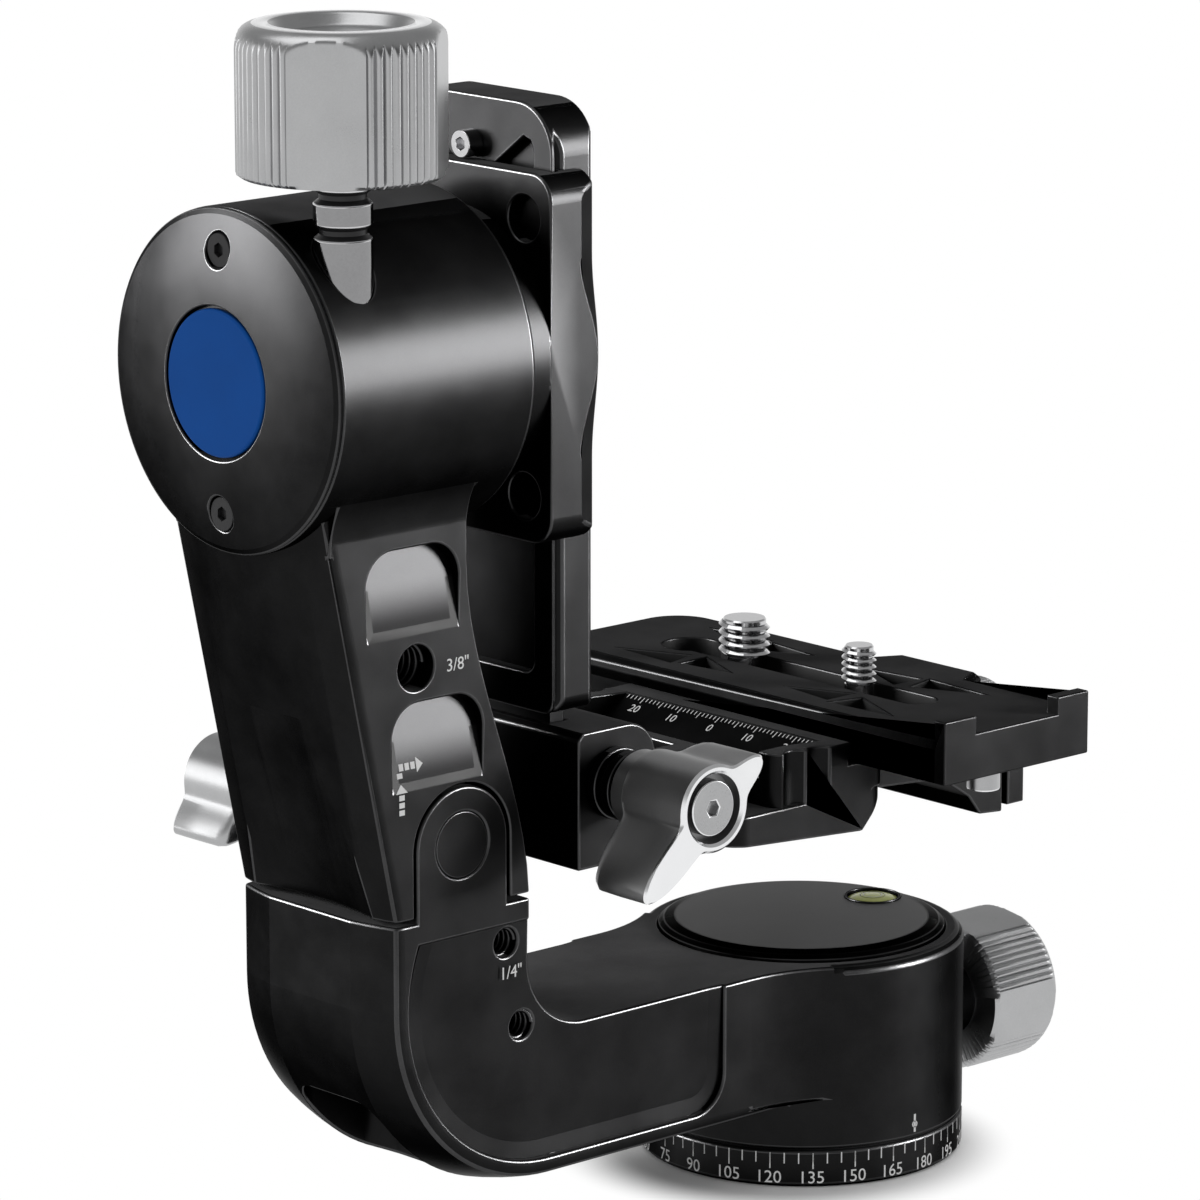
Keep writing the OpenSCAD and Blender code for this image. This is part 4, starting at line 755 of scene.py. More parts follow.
def ring_ticks_mesh(name, count, radius, low, height, width, finish):
    """Upright ticks round a ring."""
    def build(nodes, given):
        ring = nodes.add("GeometryNodeMeshCircle", None, {
            "Vertices": given["Count"], "Radius": given["Radius"]})
        spot = nodes.add("ShaderNodeSeparateXYZ", None, {
            "Vector": nodes.add("GeometryNodeInputPosition").outputs[0]})
        around = nodes.add("ShaderNodeMath", {"operation": "ARCTAN2"}, {
            0: spot.outputs["Y"], 1: spot.outputs["X"]})
        facing = nodes.add("ShaderNodeCombineXYZ", None, {"Z": around.outputs[0]})
        size = nodes.add("ShaderNodeCombineXYZ", None, {
            "X": 0.06 * MM, "Y": given["Width"], "Z": given["Height"]})
        tick = nodes.add("GeometryNodeMeshCube", None, {"Size": size.outputs[0]})
        spread = nodes.add("GeometryNodeInstanceOnPoints", None, {
            "Points": ring.outputs[0], "Instance": tick.outputs[0], "Rotation": facing.outputs[0]})
        return spread.outputs[0]

    values = {"Count": count, "Radius": radius * MM, "Width": width * MM, "Height": height * MM}
    mesh = grown_mesh(name, values, build, finish)
    mesh.transform(Matrix.Translation((0, 0, (low + height / 2) * MM)))
    return mesh


def row_ticks_mesh(name, half, width, short, tall, finish):
    """Millimetre ticks in a row about the origin, hung from the X axis. Every fifth is tall."""
    def build(nodes, given):
        first = nodes.add("ShaderNodeCombineXYZ", None, {"X": given["First"]})
        row = nodes.add("GeometryNodeMeshLine", {"mode": "OFFSET"}, {
            "Count": given["Count"], "Start Location": first.outputs[0], "Offset": (MM, 0, 0)})
        size = nodes.add("ShaderNodeCombineXYZ", None, {
            "X": given["Width"], "Y": given["Short"], "Z": 0.02 * MM})
        tick = nodes.add("GeometryNodeMeshCube", None, {"Size": size.outputs[0]})
        drop = nodes.add("ShaderNodeCombineXYZ", None, {"Y": Value(nodes, given["Short"]) * -0.5})
        hung = nodes.add("GeometryNodeTransform", None, {
            "Geometry": tick.outputs[0], "Translation": drop.outputs[0]})
        place = nodes.value(nodes.add("GeometryNodeInputIndex")) - half
        past = nodes.add("ShaderNodeMath", {"operation": "MODULO"}, {0: place, 1: 5.0})
        fifth = nodes.value(nodes.add("ShaderNodeMath", {"operation": "COMPARE"}, {
            0: past.outputs[0], 1: 0.0, 2: 0.1}))
        stretch = nodes.add("ShaderNodeCombineXYZ", None, {
            "X": 1.0, "Y": 1.0 + fifth * Value(nodes, given["More"]), "Z": 1.0})
        spread = nodes.add("GeometryNodeInstanceOnPoints", None, {
            "Points": row.outputs[0], "Instance": hung.outputs[0], "Scale": stretch.outputs[0]})
        return spread.outputs[0]

    values = {"Count": 2 * half + 1, "First": -half * MM, "Width": width * MM, "Short": short * MM,
              "More": tall / short - 1}
    return grown_mesh(name, values, build, finish)


def joined(name, meshes, finish):
    """One mesh out of several that share a finish."""
    work = bmesh.new()
    for mesh in meshes:
        work.from_mesh(mesh)
    for face in work.faces:
        face.material_index = 0
    made = bpy.data.meshes.new(name)
    work.to_mesh(made)
    work.free()
    made.materials.append(finish)
    for mesh in meshes:
        bpy.data.meshes.remove(mesh)
    return made


def words_mesh(words, height):
    """Raised print, centred on the origin in X and Y, with the given height of its characters."""
    curve = bpy.data.curves.new("print", "FONT")
    curve.body = words
    curve.align_x = "CENTER"
    curve.align_y = "CENTER"
    curve.resolution_u = 3
    depth = 0.03
    raised = 0.02 * MM
    curve.extrude = depth
    carrier = bpy.data.objects.new("print", curve)
    bpy.context.scene.collection.objects.link(carrier)
    mesh = evaluated_mesh(carrier)
    tall = [vert.co.y for vert in mesh.vertices]
    wide = [vert.co.x for vert in mesh.vertices]
    size = height / (max(tall) - min(tall))
    shift = Vector(((max(wide) + min(wide)) / 2, (max(tall) + min(tall)) / 2, 0))
    for vert in mesh.vertices:
        moved = vert.co - shift
        vert.co = Vector((moved.x * size, moved.y * size, moved.z * raised / depth))
    return mesh


class HEAD_OT_machined(bpy.types.Operator):
    """Breaks the edges of the black machined pieces and finishes them"""

    bl_idname = "head.machined"
    bl_label = "Machined pieces"

    # In millimetres: radius of the cap's satin disc, the plate's chamfer, and the scoops' dark band
    cap_disc = 23.45
    plate_chamfer = 1.2
    scoop_band = 1.7
    # Height that the scoops lie under, and the rise of their floors' normals
    scoop_top = 134.0
    scoop_rise = (0.18, 0.21)
    # Place where the housing's upper rim meets the arm, to either side, and the rim's least height
    rim_run_out = (-15.4, 26.0, 40.0)
    # Broken edges in millimetres
    widths = {"scale_ring": 0.25, "lower_arm": 0.5, "tilt_cover": 0.35, "rail_clamp": 0.45,
              "rail_jaw": 0.4, "swing_rail": 0.45, "platform": 0.4, "qr_jaw": 0.35, "pan_stud": 0.3,
              "fold_pin": 0.2, "platform_stud": 0.3, "qr_stud": 0.3}

    def plate_rim(self, spot):
        """Whether a point in millimetres lies on the upper rim of the camera plate."""
        side = abs(spot.x - PLATE_X)
        if spot.z < PLATE_TOP - 0.1 or spot.z > PLATE_TOP + 0.1:
            return False
        corner = math.hypot(side - PLATE_HALF + PLATE_CORNER, spot.y - PLATE_END + PLATE_CORNER)
        rounded = side > PLATE_HALF - PLATE_CORNER and spot.y > PLATE_END - PLATE_CORNER
        if rounded:
            return corner > PLATE_CORNER - 0.2
        return side > PLATE_HALF - 0.2 or spot.y > PLATE_END - 0.2

    def round_housing(self, spot, normal):
        """Radial normals for corners that lie on the base housing's cylinder."""
        radial = Vector((spot.x, spot.y, 0))
        if abs(radial.length - BASE_R) > 0.05 or normal.dot(radial.normalized()) < 0.9:
            return normal
        return radial.normalized()

    def rim_end(self, spot):
        """Whether a point lies on the housing's upper rim where it runs into the arm."""
        x, y, low = self.rim_run_out
        return abs(spot.x - x) < 1.3 and abs(abs(spot.y) - y) < 1.0 and spot.z > low

    def crowned(self, spot, normal):
        """The cover's end face shades like a shallow dome."""
        if normal.x > -0.9:
            return normal
        out = Vector((0, spot.y, spot.z - TILT_Z))
        return (Vector((-1, 0, 0)) + out * out.length * 0.0003).normalized()

    def scoop_floor(self, normal, centre):
        """Whether a face is the floor of a thumb scoop, by its normal and its place."""
        least, most = self.scoop_rise
        return abs(normal.y) > 0.975 and least < normal.z < most and centre.z < self.scoop_top * MM

    def shade_bands(self, work):
        """Marks a band under the arched top edge of each thumb scoop."""
        band = work.faces.layers.int.new("scoop_band")
        floors = [face for face in work.faces
                  if self.scoop_floor(face.normal, face.calc_center_median())
                  and face.calc_area() > 100 * MM * MM]
        for floor in floors:
            rim = set(floor.verts)
            made = bmesh.ops.inset_region(work, faces=[floor], thickness=self.scoop_band * MM,
                                          use_even_offset=True, use_boundary=True)
            for face in made["faces"]:
                outer = [vert.co for vert in face.verts if vert in rim]
                inner = [vert.co for vert in face.verts if vert not in rim]
                if not outer or not inner:
                    continue
                out = sum(outer, Vector()) / len(outer) - sum(inner, Vector()) / len(inner)
                if out.normalized().z > 0.35:
                    face[band] = 1

    def dress_scoops(self, piece):
        """Gives the floors of the thumb scoops their fading finish and their dark band."""
        mesh = piece.data
        mesh.materials.append(scoop_black())
        mesh.materials.append(pocket_black())
        bands = mesh.attributes["scoop_band"].data
        for face in mesh.polygons:
            if face.material_index == 0 and self.scoop_floor(face.normal, face.center):
                face.material_index = 3 if bands[face.index].value else 2

    def dull_tops(self, piece, finish):
        """Gives the level upper faces of a piece a matt finish, because the strip lights graze them."""
        mesh = piece.data
        mesh.materials.append(finish)
        for face in mesh.polygons:
            if face.material_index == 0 and face.normal.z > 0.93:
                face.material_index = len(mesh.materials) - 1

    def in_pocket(self, spot):
        """Whether a point in millimetres lies inside a pocket or a slot of the camera plate."""
        inside = abs(spot.x - PLATE_X) < PLATE_HALF - 1.5 and abs(spot.y) < PLATE_END - 1.5
        return inside and PLATE_LOW + 0.5 < spot.z < PLATE_TOP - 0.4

    def execute(self, context):
        rules = {"lower_arm": self.round_housing, "tilt_cover": self.crowned}
        for node, width in self.widths.items():
            piece = edged_piece(node, black_anodised(), black_edge(), width,
                                shade=rules.get(node),
                                leave=self.rim_end if node == "lower_arm" else None)
            self.dull_tops(piece, top_black())
        arm = edged_piece("upper_arm", black_anodised(), black_edge(), 0.4,
                          soft=True, before=self.shade_bands)
        self.dress_scoops(arm)
        self.dull_tops(arm, top_black())
        plate = edged_piece("camera_plate", black_anodised(), plate_edge(), 0.3,
                            chamfer=(self.plate_chamfer, self.plate_rim))
        plate.data.materials.append(pocket_black())
        for face in plate.data.polygons:
            if face.material_index == 0 and self.in_pocket(face.center / MM):
                face.material_index = 2
        self.dull_tops(plate, plate_top_black())
        cap = edged_piece("pan_cap", satin_cap(), black_edge(), 0.15, math.radians(8))
        cap.data.materials.append(black_anodised())
        for face in cap.data.polygons:
            if face.material_index == 0 and Vector(face.center.xy).length > self.cap_disc * MM:
                face.material_index = 2
        return {"FINISHED"}


class HEAD_OT_fasteners(bpy.types.Operator):
    """Finishes the stem, the screws and the pins that show"""

    bl_idname = "head.fasteners"
    bl_label = "Screws and pins"

    # The stem is thinner than this in its grooves, as a radius in millimetres
    groove_r = 4.8

    def execute(self, context):
        stem = edged_piece("tilt_stem", stem_steel(), polished_steel(), 0.2)
        stem.data.materials.append(black_oxide())
        for face in stem.data.polygons:
            out = Vector((face.center.x / MM - TILT_STEM[0], face.center.y / MM - TILT_STEM[1]))
            if face.material_index == 0 and out.length < self.groove_r and abs(face.normal.z) < 0.9:
                face.material_index = 2
        edged_piece("rail_stop_screw", polished_steel(), silver_edge(), 0.2)
        edged_piece("stop_pins", silver_anodised(), silver_edge(), 0.3)
        edged_piece("cover_screws", black_oxide(), black_edge(), 0.12)
        for node in ("fold_lever_screw", "platform_lever_screw"):
            edged_piece(node, silver_anodised(), silver_edge(), 0.25)
        return {"FINISHED"}


class HEAD_OT_knobs(bpy.types.Operator):
    """Draws the three ribbed clamping knobs"""

    bl_idname = "head.knobs"
    bl_label = "Knobs"

    # Sizes in millimetres, and the turn of the flats in degrees
    shapes = {
        "tilt_knob": {"radius": 18, "height": 25.4, "recess_r": 11.6, "recess_d": 2.2, "shoulder": 4,
                      "bore_r": 5.02, "turn": -49},
        "pan_knob": {"radius": 14.5, "height": 17, "recess_r": 9, "recess_d": 1.6, "shoulder": 3,
                     "bore_r": 4.02, "turn": 9},
        "qr_knob": {"radius": 10.3, "height": 15, "recess_r": 6.4, "recess_d": 1.4, "shoulder": 2.5,
                    "bore_r": 4.02, "turn": 45}}

    def execute(self, context):
        places = {"tilt_knob": turned(TILT_STEM[0], TILT_STEM[1], TILT_KNOB_Z, "Z", 0),
                  "pan_knob": turned(PAN_KNOB_X, 0, PAN_LOCK_Z, "Y", 90),
                  "qr_knob": turned(QR_KNOB_X, 0, QR_Z, "Y", 90)}
        for node, shape in self.shapes.items():
            mesh = knob_mesh(node + "_ribbed", places[node], **shape)
            add_piece(node + "_ribbed", mesh, BODY_OF[node], (node,))
        return {"FINISHED"}


class HEAD_OT_levers(bpy.types.Operator):
    """Draws the two wing levers"""

    bl_idname = "head.levers"
    bl_label = "Levers"

    def execute(self, context):
        fold = turned(FOLD_PIN[0], FOLD_LEVER_Y, FOLD_PIN[1], "X", -90, FOLD_LEVER_TURN)
        mesh = lever_mesh("fold_lever_winged", fold, silver_anodised())
        add_piece("fold_lever_winged", mesh, "fold_lock", ("fold_lever",))
        lock = turned(LOCK_AXIS[0], LOCK_LEVER_Y, LOCK_AXIS[1], "X", 90)
        mesh = lever_mesh("platform_lever_winged", lock, lever_grey())
        add_piece("platform_lever_winged", mesh, "platform_lock", ("platform_lever",))
        return {"FINISHED"}


class HEAD_OT_camera_screws(bpy.types.Operator):
    """Draws the two camera screws with their threads"""

    bl_idname = "head.camera_screws"
    bl_label = "Camera screws"

    # Sizes in millimetres, and the thread's depth as a share of its pitch
    head_r = 6.5
    head_h = 4.1
    dimple_r = 2.3
    thread_depth = 0.62

    def screw(self, node, y, thread_r, neck_r, pitch):
        """A camera screw: a dimpled head below the plate, a plain neck and a threaded end."""
        ridge = self.thread_depth * pitch
        root = thread_r - ridge / MM
        low = PLATE_LOW + 0.4
        head_top = low + self.head_h
        top = PLATE_TOP + SCREW_OUT
        profile = [(0.3, low + 0.5), (self.dimple_r, low + 0.5), (self.dimple_r + 0.2, low),
                   (self.head_r - 0.3, low), (self.head_r, low + 0.3), (self.head_r, head_top - 0.3),
                   (self.head_r - 0.3, head_top), (neck_r, head_top), (neck_r, PLATE_TOP + 0.4),
                   (root, PLATE_TOP + 0.5), (root, top - 1.3), (root + 0.25, top - 1.0),
                   (root + 0.25, top - 0.3), (root, top), (0.2, top)]
        rows = round_rows(turned(PLATE_X, y, 0, "Z", 0), profile)
        body = grid_mesh(node + "_body", rows, (polished_steel(),))
        length = (SCREW_OUT - 1.7) * MM
        place = turned(PLATE_X, y, PLATE_TOP + 0.75, "Z", 0)
        middle = thread_r * MM - ridge / 2
        coil = thread_mesh(node + "_thread", middle, pitch, length, ridge, place, polished_steel())
        for face in coil.polygons:
            face.use_smooth = False
        mesh = joined(node + "_threaded", (body, coil), polished_steel())
        add_piece(node + "_threaded", mesh, BODY_OF[node], (node,))

    def execute(self, context):
        self.screw("large_screw", 16.6, 4.76, 3.1, sizes().large_pitch)
        self.screw("small_screw", -13.5, 3.175, 2.6, sizes().small_pitch)
        return {"FINISHED"}


class HEAD_OT_tapped_holes(bpy.types.Operator):
    """Puts thread ridges into the tapped holes of the arm and the tripod bush"""

    bl_idname = "head.tapped_holes"
    bl_label = "Tapped holes"

    def execute(self, context):
        large = sizes().large_pitch
        small = sizes().small_pitch
        place = turned(ACC_LARGE[0], -HALF_ARM + 3.2, ACC_LARGE[1], "X", -90)
        mesh = thread_mesh("arm_thread_large", 4.0 * MM, large, 34 * MM, 1.3 * MM, place, black_edge())
        add_piece("arm_thread_large", mesh, "upper")
        for label, (x, z) in zip(("upper", "lower"), ACC_SMALL):
            place = turned(x, -HALF_ARM + 1.4, z, "X", -90)
            name = "arm_thread_small_" + label
            mesh = thread_mesh(name, 2.6 * MM, small, 4.2 * MM, 1.0 * MM, place, black_edge())
            add_piece(name, mesh, "arm")
        place = turned(0, 0, 0.9, "Z", 0)
        mesh = thread_mesh("tripod_thread", 4.0 * MM, large, 10 * MM, 1.2 * MM, place, polished_steel())
        add_piece("tripod_thread", mesh, "base")
        return {"FINISHED"}


class HEAD_OT_pan_scale(bpy.types.Operator):
    """Prints the degree scale on the base ring and the index mark on the housing"""

    bl_idname = "head.pan_scale"
    bl_label = "Degree scale"

    # Where the scale's zero lies, in degrees
    zero_at = -264.6

    def execute(self, context):
        ink = white_print()
        face = BASE_R + 0.005
        turn = Matrix.Rotation(math.radians(self.zero_at), 4, "Z")
        short = ring_ticks_mesh("ticks_short", 360 // sizes().tick_step, face, 4.6, 2.0, 0.22, ink)
        long = ring_ticks_mesh("ticks_long", 360 // sizes().label_step, face, 3.6, 3.0, 0.22, ink)
        numbers = []
        for degrees in range(0, 360, sizes().label_step):
            mesh = words_mesh(str(degrees), sizes().label_height)
            for vert in mesh.vertices:
                around = vert.co.x / (face * MM) + math.radians(degrees)
                out = face * MM + vert.co.z
                vert.co = Vector((out * math.cos(around), out * math.sin(around), vert.co.y + 2.0 * MM))
            numbers.append(mesh)
        mesh = joined("pan_scale_print", [short, long] + numbers, ink)
        mesh.transform(turn)
        add_piece("pan_scale_print", mesh, "base")
        pointer = words_mesh("I", 3.4 * MM)
        dot = words_mesh("o", 1.3 * MM)
        dot.transform(Matrix.Translation((0, -0.2 * MM, 0)))
        mark = joined("pan_index_print", (pointer, dot), ink)
        mark.transform(turned(0, -BASE_R - 0.01, 9.9, "X", 90))
        add_piece("pan_index_print", mark, "arm")
        return {"FINISHED"}


class HEAD_OT_labels(bpy.types.Operator):
    """Prints the thread sizes and the fold arrows on the arm"""

    bl_idname = "head.labels"
    bl_label = "Arm labels"

    # In millimetres: height of the letters, and the height from which the scoop's floor slopes in
    letter_height = 2.3
    scoop_low = 90.0
    scoop_slope = 0.2

    def execute(self, context):
        ink = white_print()
        front = -HALF_ARM - 0.01
        for name, words, x, z, body in (("label_large_thread", '3/8"', -101.8, 110.7, "upper"),
                                        ("label_small_thread", '1/4"', -89.7, 54.0, "arm")):
            label = joined(name, (words_mesh(words, self.letter_height * MM),), ink)
            label.transform(turned(x, front, z, "X", 90))
            add_piece(name, label, body)
        add_piece("label_fold_arrows", self.arrows(ink, front), "upper")
        return {"FINISHED"}

    def arrows(self, ink, front):
        """An arrow up and an arrow round a corner to the side, with dashed tails."""
        corner = ((-115.1, 92.5), (-113.9, 92.5), (-113.9, 93.4), (-115.1, 93.4))
        shapes = [[Vector(point) for point in corner]]
        head = ((-1.3, 0.0), (1.3, 0.0), (0.0, 1.5))
        for turn, at in ((0, (-114.5, 90.0)), (-90, (-110.6, 94.3))):
            swing = Matrix.Rotation(math.radians(turn), 2)
            shapes.append([Vector(at) + swing @ Vector(point) for point in head])
            for step in range(3):
                low = -0.3 - step * 1.3
                box = ((-0.6, low - 0.95), (0.6, low - 0.95), (0.6, low), (-0.6, low))
                shapes.append([Vector(at) + swing @ Vector(point) for point in box])
        work = bmesh.new()
        for shape in shapes:
            flat = [work.verts.new((point.x * MM, front * MM, point.y * MM)) for point in shape]
            work.faces.new(flat)
        made = bmesh.ops.extrude_face_region(work, geom=list(work.faces))
        moved = [item for item in made["geom"] if isinstance(item, bmesh.types.BMVert)]
        bmesh.ops.translate(work, verts=moved, vec=(0, -0.02 * MM, 0))
        for vert in work.verts:
            vert.co.y += max(0.0, vert.co.z - self.scoop_low * MM) * self.scoop_slope
        bmesh.ops.recalc_face_normals(work, faces=work.faces)
        mesh = bpy.data.meshes.new("label_fold_arrows")
        work.to_mesh(mesh)
        work.free()
        mesh.materials.append(ink)
        return mesh


class HEAD_OT_jaw_scale(bpy.types.Operator):
    """Prints the millimetre scale on the sloping face of the fixed jaw"""

    bl_idname = "head.jaw_scale"
    bl_label = "Jaw scale"

    # In millimetres: half the scale's length, and X and Z of the sloping face's upper edge
    half = 24
    high = (-20.9, 84.05)
    slope = math.atan2(4.0, 6.8)

    def execute(self, context):
        ink = white_print()
        along = Vector((0, -1, 0))
        up = Vector((math.cos(self.slope), 0, math.sin(self.slope)))
        out = along.cross(up)
        face = Matrix((along, up, out)).transposed().to_4x4()
        face.translation = Vector((self.high[0], 0, self.high[1])) * MM + out * 0.015 * MM
        marks = [row_ticks_mesh("jaw_ticks", self.half, 0.18, 0.9, 1.5, ink)]
        for place in (-20, -10, 0, 10, 20):
            number = words_mesh(str(abs(place)), 1.8 * MM)
            number.transform(Matrix.Translation((place * MM, -3.0 * MM, 0)))
            marks.append(number)
        mesh = joined("jaw_scale_print", marks, ink)
        mesh.transform(face)
        add_piece("jaw_scale_print", mesh, "platform")
        return {"FINISHED"}


class HEAD_OT_badge(bpy.types.Operator):
    """Finishes the bare round badge of the tilt cover"""

    bl_idname = "head.badge"
    bl_label = "Badge"

    def execute(self, context):
        edged_piece("badge", badge_blue(), badge_blue(), 0.15)
        return {"FINISHED"}


class HEAD_OT_level(bpy.types.Operator):
    """Draws the bubble level: cup, domed fluid, ring mark and the bubble's rim"""

    bl_idname = "head.level"
    bl_label = "Bubble level"

    def execute(self, context):
        edged_piece("level_cup", black_anodised(), black_edge(), 0.12)
        low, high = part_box("level_vial")
        centre = (low + high) / 2
        radius = (high.x - low.x) / 2
        tall = high.z - low.z
        place = Matrix.Translation((centre.x, centre.y, low.z))
        dome = ((0.02, 0.0), (0.97, 0.0), (1.0, 0.1), (1.0, 0.55), (0.97, 0.66), (0.8, 0.82),
                (0.55, 0.93), (0.28, 0.985), (0.02, 1.0))
        rows = round_rows(place, [(radius / MM * share, tall / MM * rise) for share, rise in dome])
        fluid = grid_mesh("level_fluid_dome", rows, (level_fluid(),))
        add_piece("level_fluid_dome", fluid, "arm", ("level_vial",))
        place = Matrix.Translation((centre.x, centre.y, low.z + tall * 0.945))
        ring = ring_mesh("level_ring_mark", radius * 0.48, 0.05 * MM, place, black_oxide())
        add_piece("level_ring_mark", ring, "arm")
        place = Matrix.Translation((centre.x, centre.y, low.z + tall * 0.962))
        bubble = ring_mesh("level_bubble_rim", radius * 0.36, 0.07 * MM, place, white_print())
        add_piece("level_bubble_rim", bubble, "arm")
        return {"FINISHED"}


class HEAD_OT_inner_pieces(bpy.types.Operator):
    """Finishes the pieces inside the housings"""

    bl_idname = "head.inner_pieces"
    bl_label = "Inner pieces"

    def execute(self, context):
        steel = ("ring_screws", "tripod_bush", "pan_spindle", "pan_nut", "pan_bearing",
                 "fold_slide_block", "tilt_bearing_outer", "tilt_bearing_inner", "tilt_shaft",
                 "shaft_nut", "jaw_bolts", "qr_guide_pins")
        brass = ("pan_brake_shoe", "tilt_brake_shoe", "platform_shoe")
        for group, finish in ((steel, polished_steel()), (brass, machined_brass())):
            for node in group:
                NODES[node].data.materials.clear()
                NODES[node].data.materials.append(finish)
        return {"FINISHED"}


class HEAD_OT_stage(bpy.types.Operator):
    """Sets up the floor, the softboxes, the world and the camera"""

    bl_idname = "head.stage"
    bl_label = "Studio"

    # In metres: what the lights aim at, and the radii between which the floor's shadow ends
    target = Vector((-0.060, 0.0, 0.11))
    shadow = (0.029, 0.044)
    # The world's plain brightness, and the side on which its reflection is flagged
    fill = 0.72
    flag_toward = (0.174, -0.985, 0.0)

    def softbox(self, name, toward, distance, width, height, radiance, only=None):
        """A softbox with a given brightness, aimed at the head. It may light some pieces only."""
        light = bpy.data.lights.new(name, "AREA")
        light.shape = "RECTANGLE"
        light.size = width
        light.size_y = height
        light.energy = radiance * math.pi * width * height
        box = bpy.data.objects.new(name, light)
        direction = Vector(toward).normalized()
        box.location = self.target + direction * distance
        box.rotation_euler = direction.to_track_quat("Z", "Y").to_euler()
        bpy.context.scene.collection.objects.link(box)
        if only:
            box.light_linking.receiver_collection = only

    def pieces_in(self, name, finishes):
        """The pieces whose main finish is one of these, for a light that is kept off the others."""
        found = bpy.data.collections.new(name)
        for piece in bpy.context.scene.objects:
            if piece.type == "MESH" and piece.data.materials and not piece.hide_render:
                if piece.data.materials[0] in finishes:
                    found.objects.link(piece)
        return found

    def floor(self):
        """A pale floor that is white to the camera, apart from the shadow under the base."""
        mesh = bpy.data.meshes.new("floor")
        side = 8.0
        low = CAD_BOX[0].z
        corners = ((-side, -side, low), (side, -side, low), (side, side, low), (-side, side, low))
        mesh.from_pydata(corners, [], [(0, 1, 2, 3)])
        floor = bpy.data.objects.new("floor", mesh)
        bpy.context.scene.collection.objects.link(floor)
        finish = bpy.data.materials.new("floor_white")
        finish.use_nodes = True
        tree = finish.node_tree
        tree.nodes.clear()
        nodes = Nodes(tree)
        place = nodes.add("ShaderNodeTexCoord").outputs["Object"]
        away = nodes.add("ShaderNodeVectorMath", {"operation": "DISTANCE"}, {
            0: place, 1: (-0.005, 0.0, 0.0)})
        far = nodes.value(nodes.add("ShaderNodeMapRange", {"interpolation_type": "SMOOTHSTEP"}, {
            "Value": away.outputs["Value"], "From Min": self.shadow[0],
            "From Max": self.shadow[1]}))
        path = nodes.add("ShaderNodeLightPath").outputs
        seen = Value(nodes, path["Is Camera Ray"]).at_least(Value(nodes, path["Is Glossy Ray"]))
        seen = seen.at_least(Value(nodes, path["Is Transmission Ray"]))
        cloth = nodes.add("ShaderNodeBsdfDiffuse", None, {"Color": (0.92, 0.92, 0.92, 1)})
        white = nodes.add("ShaderNodeEmission", None, {"Color": (1, 1, 1, 1), "Strength": 1.0})
        mixed = nodes.add("ShaderNodeMixShader", None, {
            0: far * seen, 1: cloth.outputs[0], 2: white.outputs[0]})
        nodes.add("ShaderNodeOutputMaterial", None, {"Surface": mixed.outputs[0]})
        mesh.materials.append(finish)

    def world(self):
        """White to the camera. Reflections see it dimmer overhead and behind a dark flag in front."""
        world = bpy.data.worlds.new("studio")
        world.use_nodes = True
        world.node_tree.nodes.clear()
        nodes = Nodes(world.node_tree)
        path = nodes.add("ShaderNodeLightPath").outputs
        direction = nodes.add("ShaderNodeTexCoord").outputs["Generated"]
        above = nodes.add("ShaderNodeSeparateXYZ", None, {"Vector": direction}).outputs["Z"]
        dim = nodes.value(nodes.add("ShaderNodeMapRange", {"interpolation_type": "SMOOTHSTEP"}, {
            "Value": above, "From Min": 0.02, "From Max": 0.5, "To Min": 1.0, "To Max": 0.35}))
        toward = nodes.add("ShaderNodeVectorMath", {"operation": "DOT_PRODUCT"}, {
            0: direction, 1: self.flag_toward}).outputs["Value"]
        flag = nodes.value(nodes.add("ShaderNodeMapRange", {"interpolation_type": "SMOOTHSTEP"}, {
            "Value": toward, "From Min": 0.643, "From Max": 0.951, "To Min": 1.0, "To Max": 0.12}))
        reflected = Value(nodes, path["Is Glossy Ray"])
        camera = Value(nodes, path["Is Camera Ray"]).at_least(Value(nodes, path["Is Transmission Ray"]))
        seen = camera.at_least(reflected)
        strength = camera.at_least(reflected * dim * flag) + (1.0 - seen) * self.fill
        shade = nodes.add("ShaderNodeBackground", None, {
            "Color": (1, 1, 1, 1), "Strength": strength})
        nodes.add("ShaderNodeOutputWorld", None, {"Surface": shade.outputs[0]})
        bpy.context.scene.world = world

    def camera(self):
        """A long lens at the photograph's viewing angle."""
        lens = bpy.data.cameras.new("camera")
        lens.lens = 196.33
        lens.sensor_width = 36
        lens.clip_end = 50
        camera = bpy.data.objects.new("camera", lens)
        camera.location = (-0.81355, -0.83446, 0.36709)
        look = Vector((-0.10823, -0.06329, 0.12983)) - camera.location
        camera.rotation_euler = look.to_track_quat("-Z", "Y").to_euler()
        bpy.context.scene.collection.objects.link(camera)
        bpy.context.scene.camera = camera

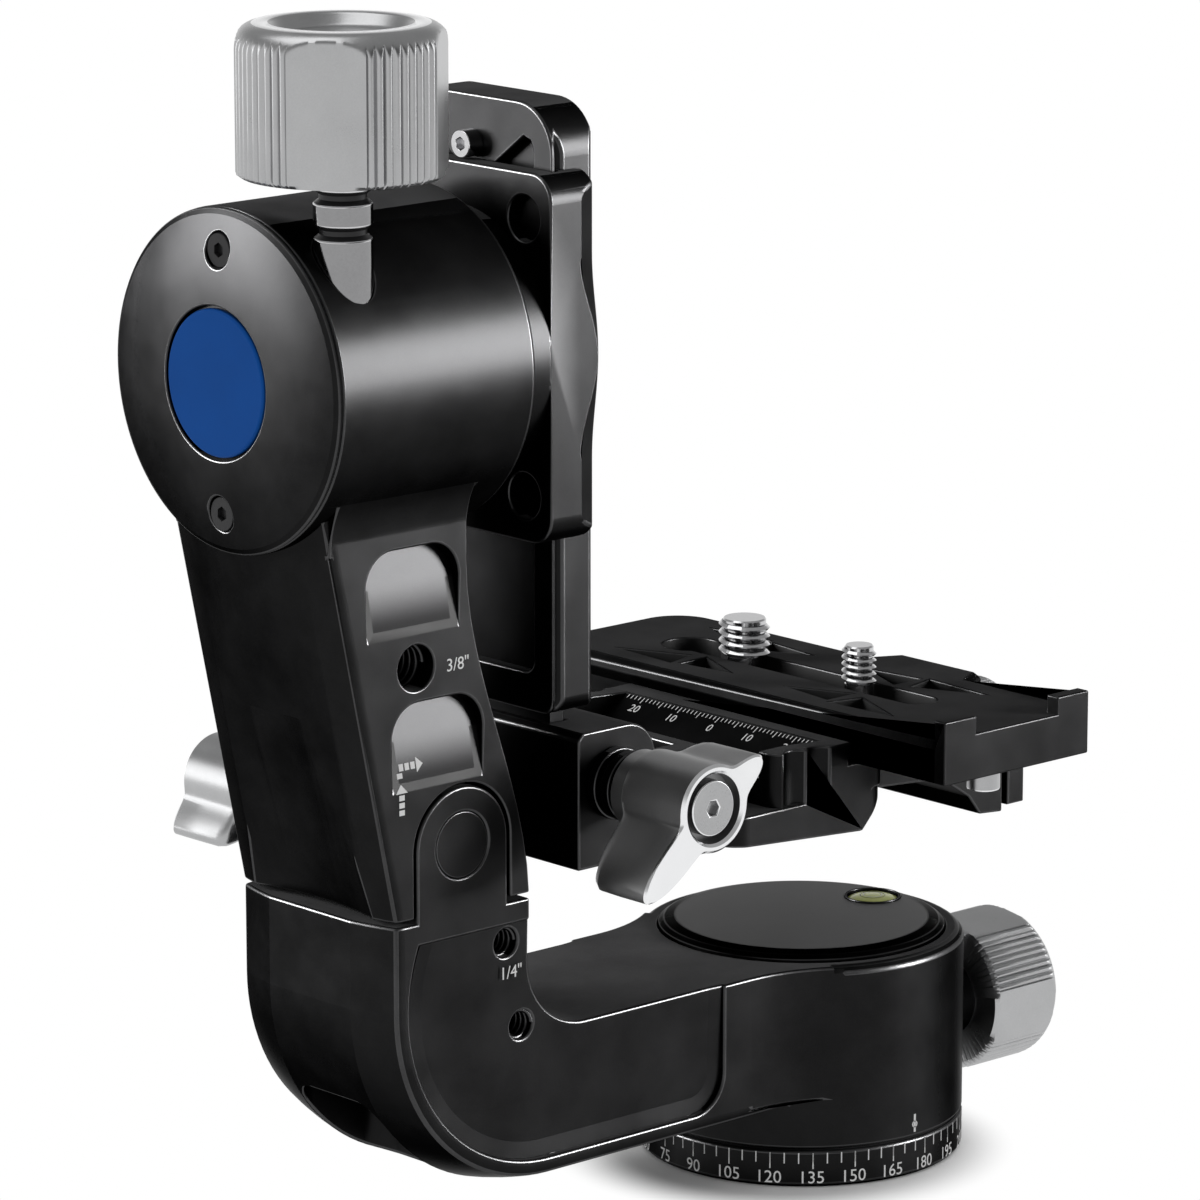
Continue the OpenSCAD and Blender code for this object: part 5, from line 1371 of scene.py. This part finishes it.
    def execute(self, context):
        context.scene.view_settings.view_transform = "Standard"
        self.floor()
        self.world()
        black = self.pieces_in("black_pieces", (black_anodised(), black_edge()))
        bright = self.pieces_in("bright_pieces", (silver_anodised(), lever_grey()))
        self.softbox("front_strip", (0.66, -0.74, 0.16), 1.2, 0.34, 0.5, 88.0, black)
        self.softbox("left_box", (-0.69, 0.72, 0.25), 1.2, 0.5, 0.6, 62.0, black)
        self.softbox("right_kicker", (0.89, -0.42, 0.05), 1.2, 0.3, 0.9, 3.2, bright)
        self.softbox("left_kicker", (-0.68, 0.73, 0.05), 1.2, 0.4, 0.9, 2.2, bright)
        self.softbox("top_box", (-0.25, 0.25, 1.0), 1.3, 0.9, 0.9, 1.6)
        self.camera()
        return {"FINISHED"}


class HEAD_PT_panel(bpy.types.Panel):
    """Lists the steps that dress the head"""

    bl_label = "Gimbal head"
    bl_idname = "HEAD_PT_panel"
    bl_space_type = "VIEW_3D"
    bl_region_type = "UI"
    bl_category = "Gimbal head"

    def draw(self, context):
        for step in STEPS:
            self.layout.operator(step.bl_idname)
        for group in (context.scene.head_sizes, context.scene.head_finishes):
            for name in group.__annotations__:
                self.layout.prop(group, name)


STEPS = (HEAD_OT_machined, HEAD_OT_fasteners, HEAD_OT_knobs, HEAD_OT_levers, HEAD_OT_camera_screws,
         HEAD_OT_tapped_holes, HEAD_OT_pan_scale, HEAD_OT_labels, HEAD_OT_jaw_scale, HEAD_OT_badge,
         HEAD_OT_level, HEAD_OT_inner_pieces, HEAD_OT_stage)
CLASSES = (HeadSizes, HeadFinishes) + STEPS + (HEAD_PT_panel,)


def register():
    for group in CLASSES:
        bpy.utils.register_class(group)
    bpy.types.Scene.head_sizes = bpy.props.PointerProperty(type=HeadSizes)
    bpy.types.Scene.head_finishes = bpy.props.PointerProperty(type=HeadFinishes)


def unregister():
    del bpy.types.Scene.head_finishes
    del bpy.types.Scene.head_sizes
    for group in reversed(CLASSES):
        bpy.utils.unregister_class(group)


def main():
    register()
    for step in STEPS:
        family, name = step.bl_idname.split(".")
        getattr(getattr(bpy.ops, family), name)()


if __name__ == "__main__":
    main()
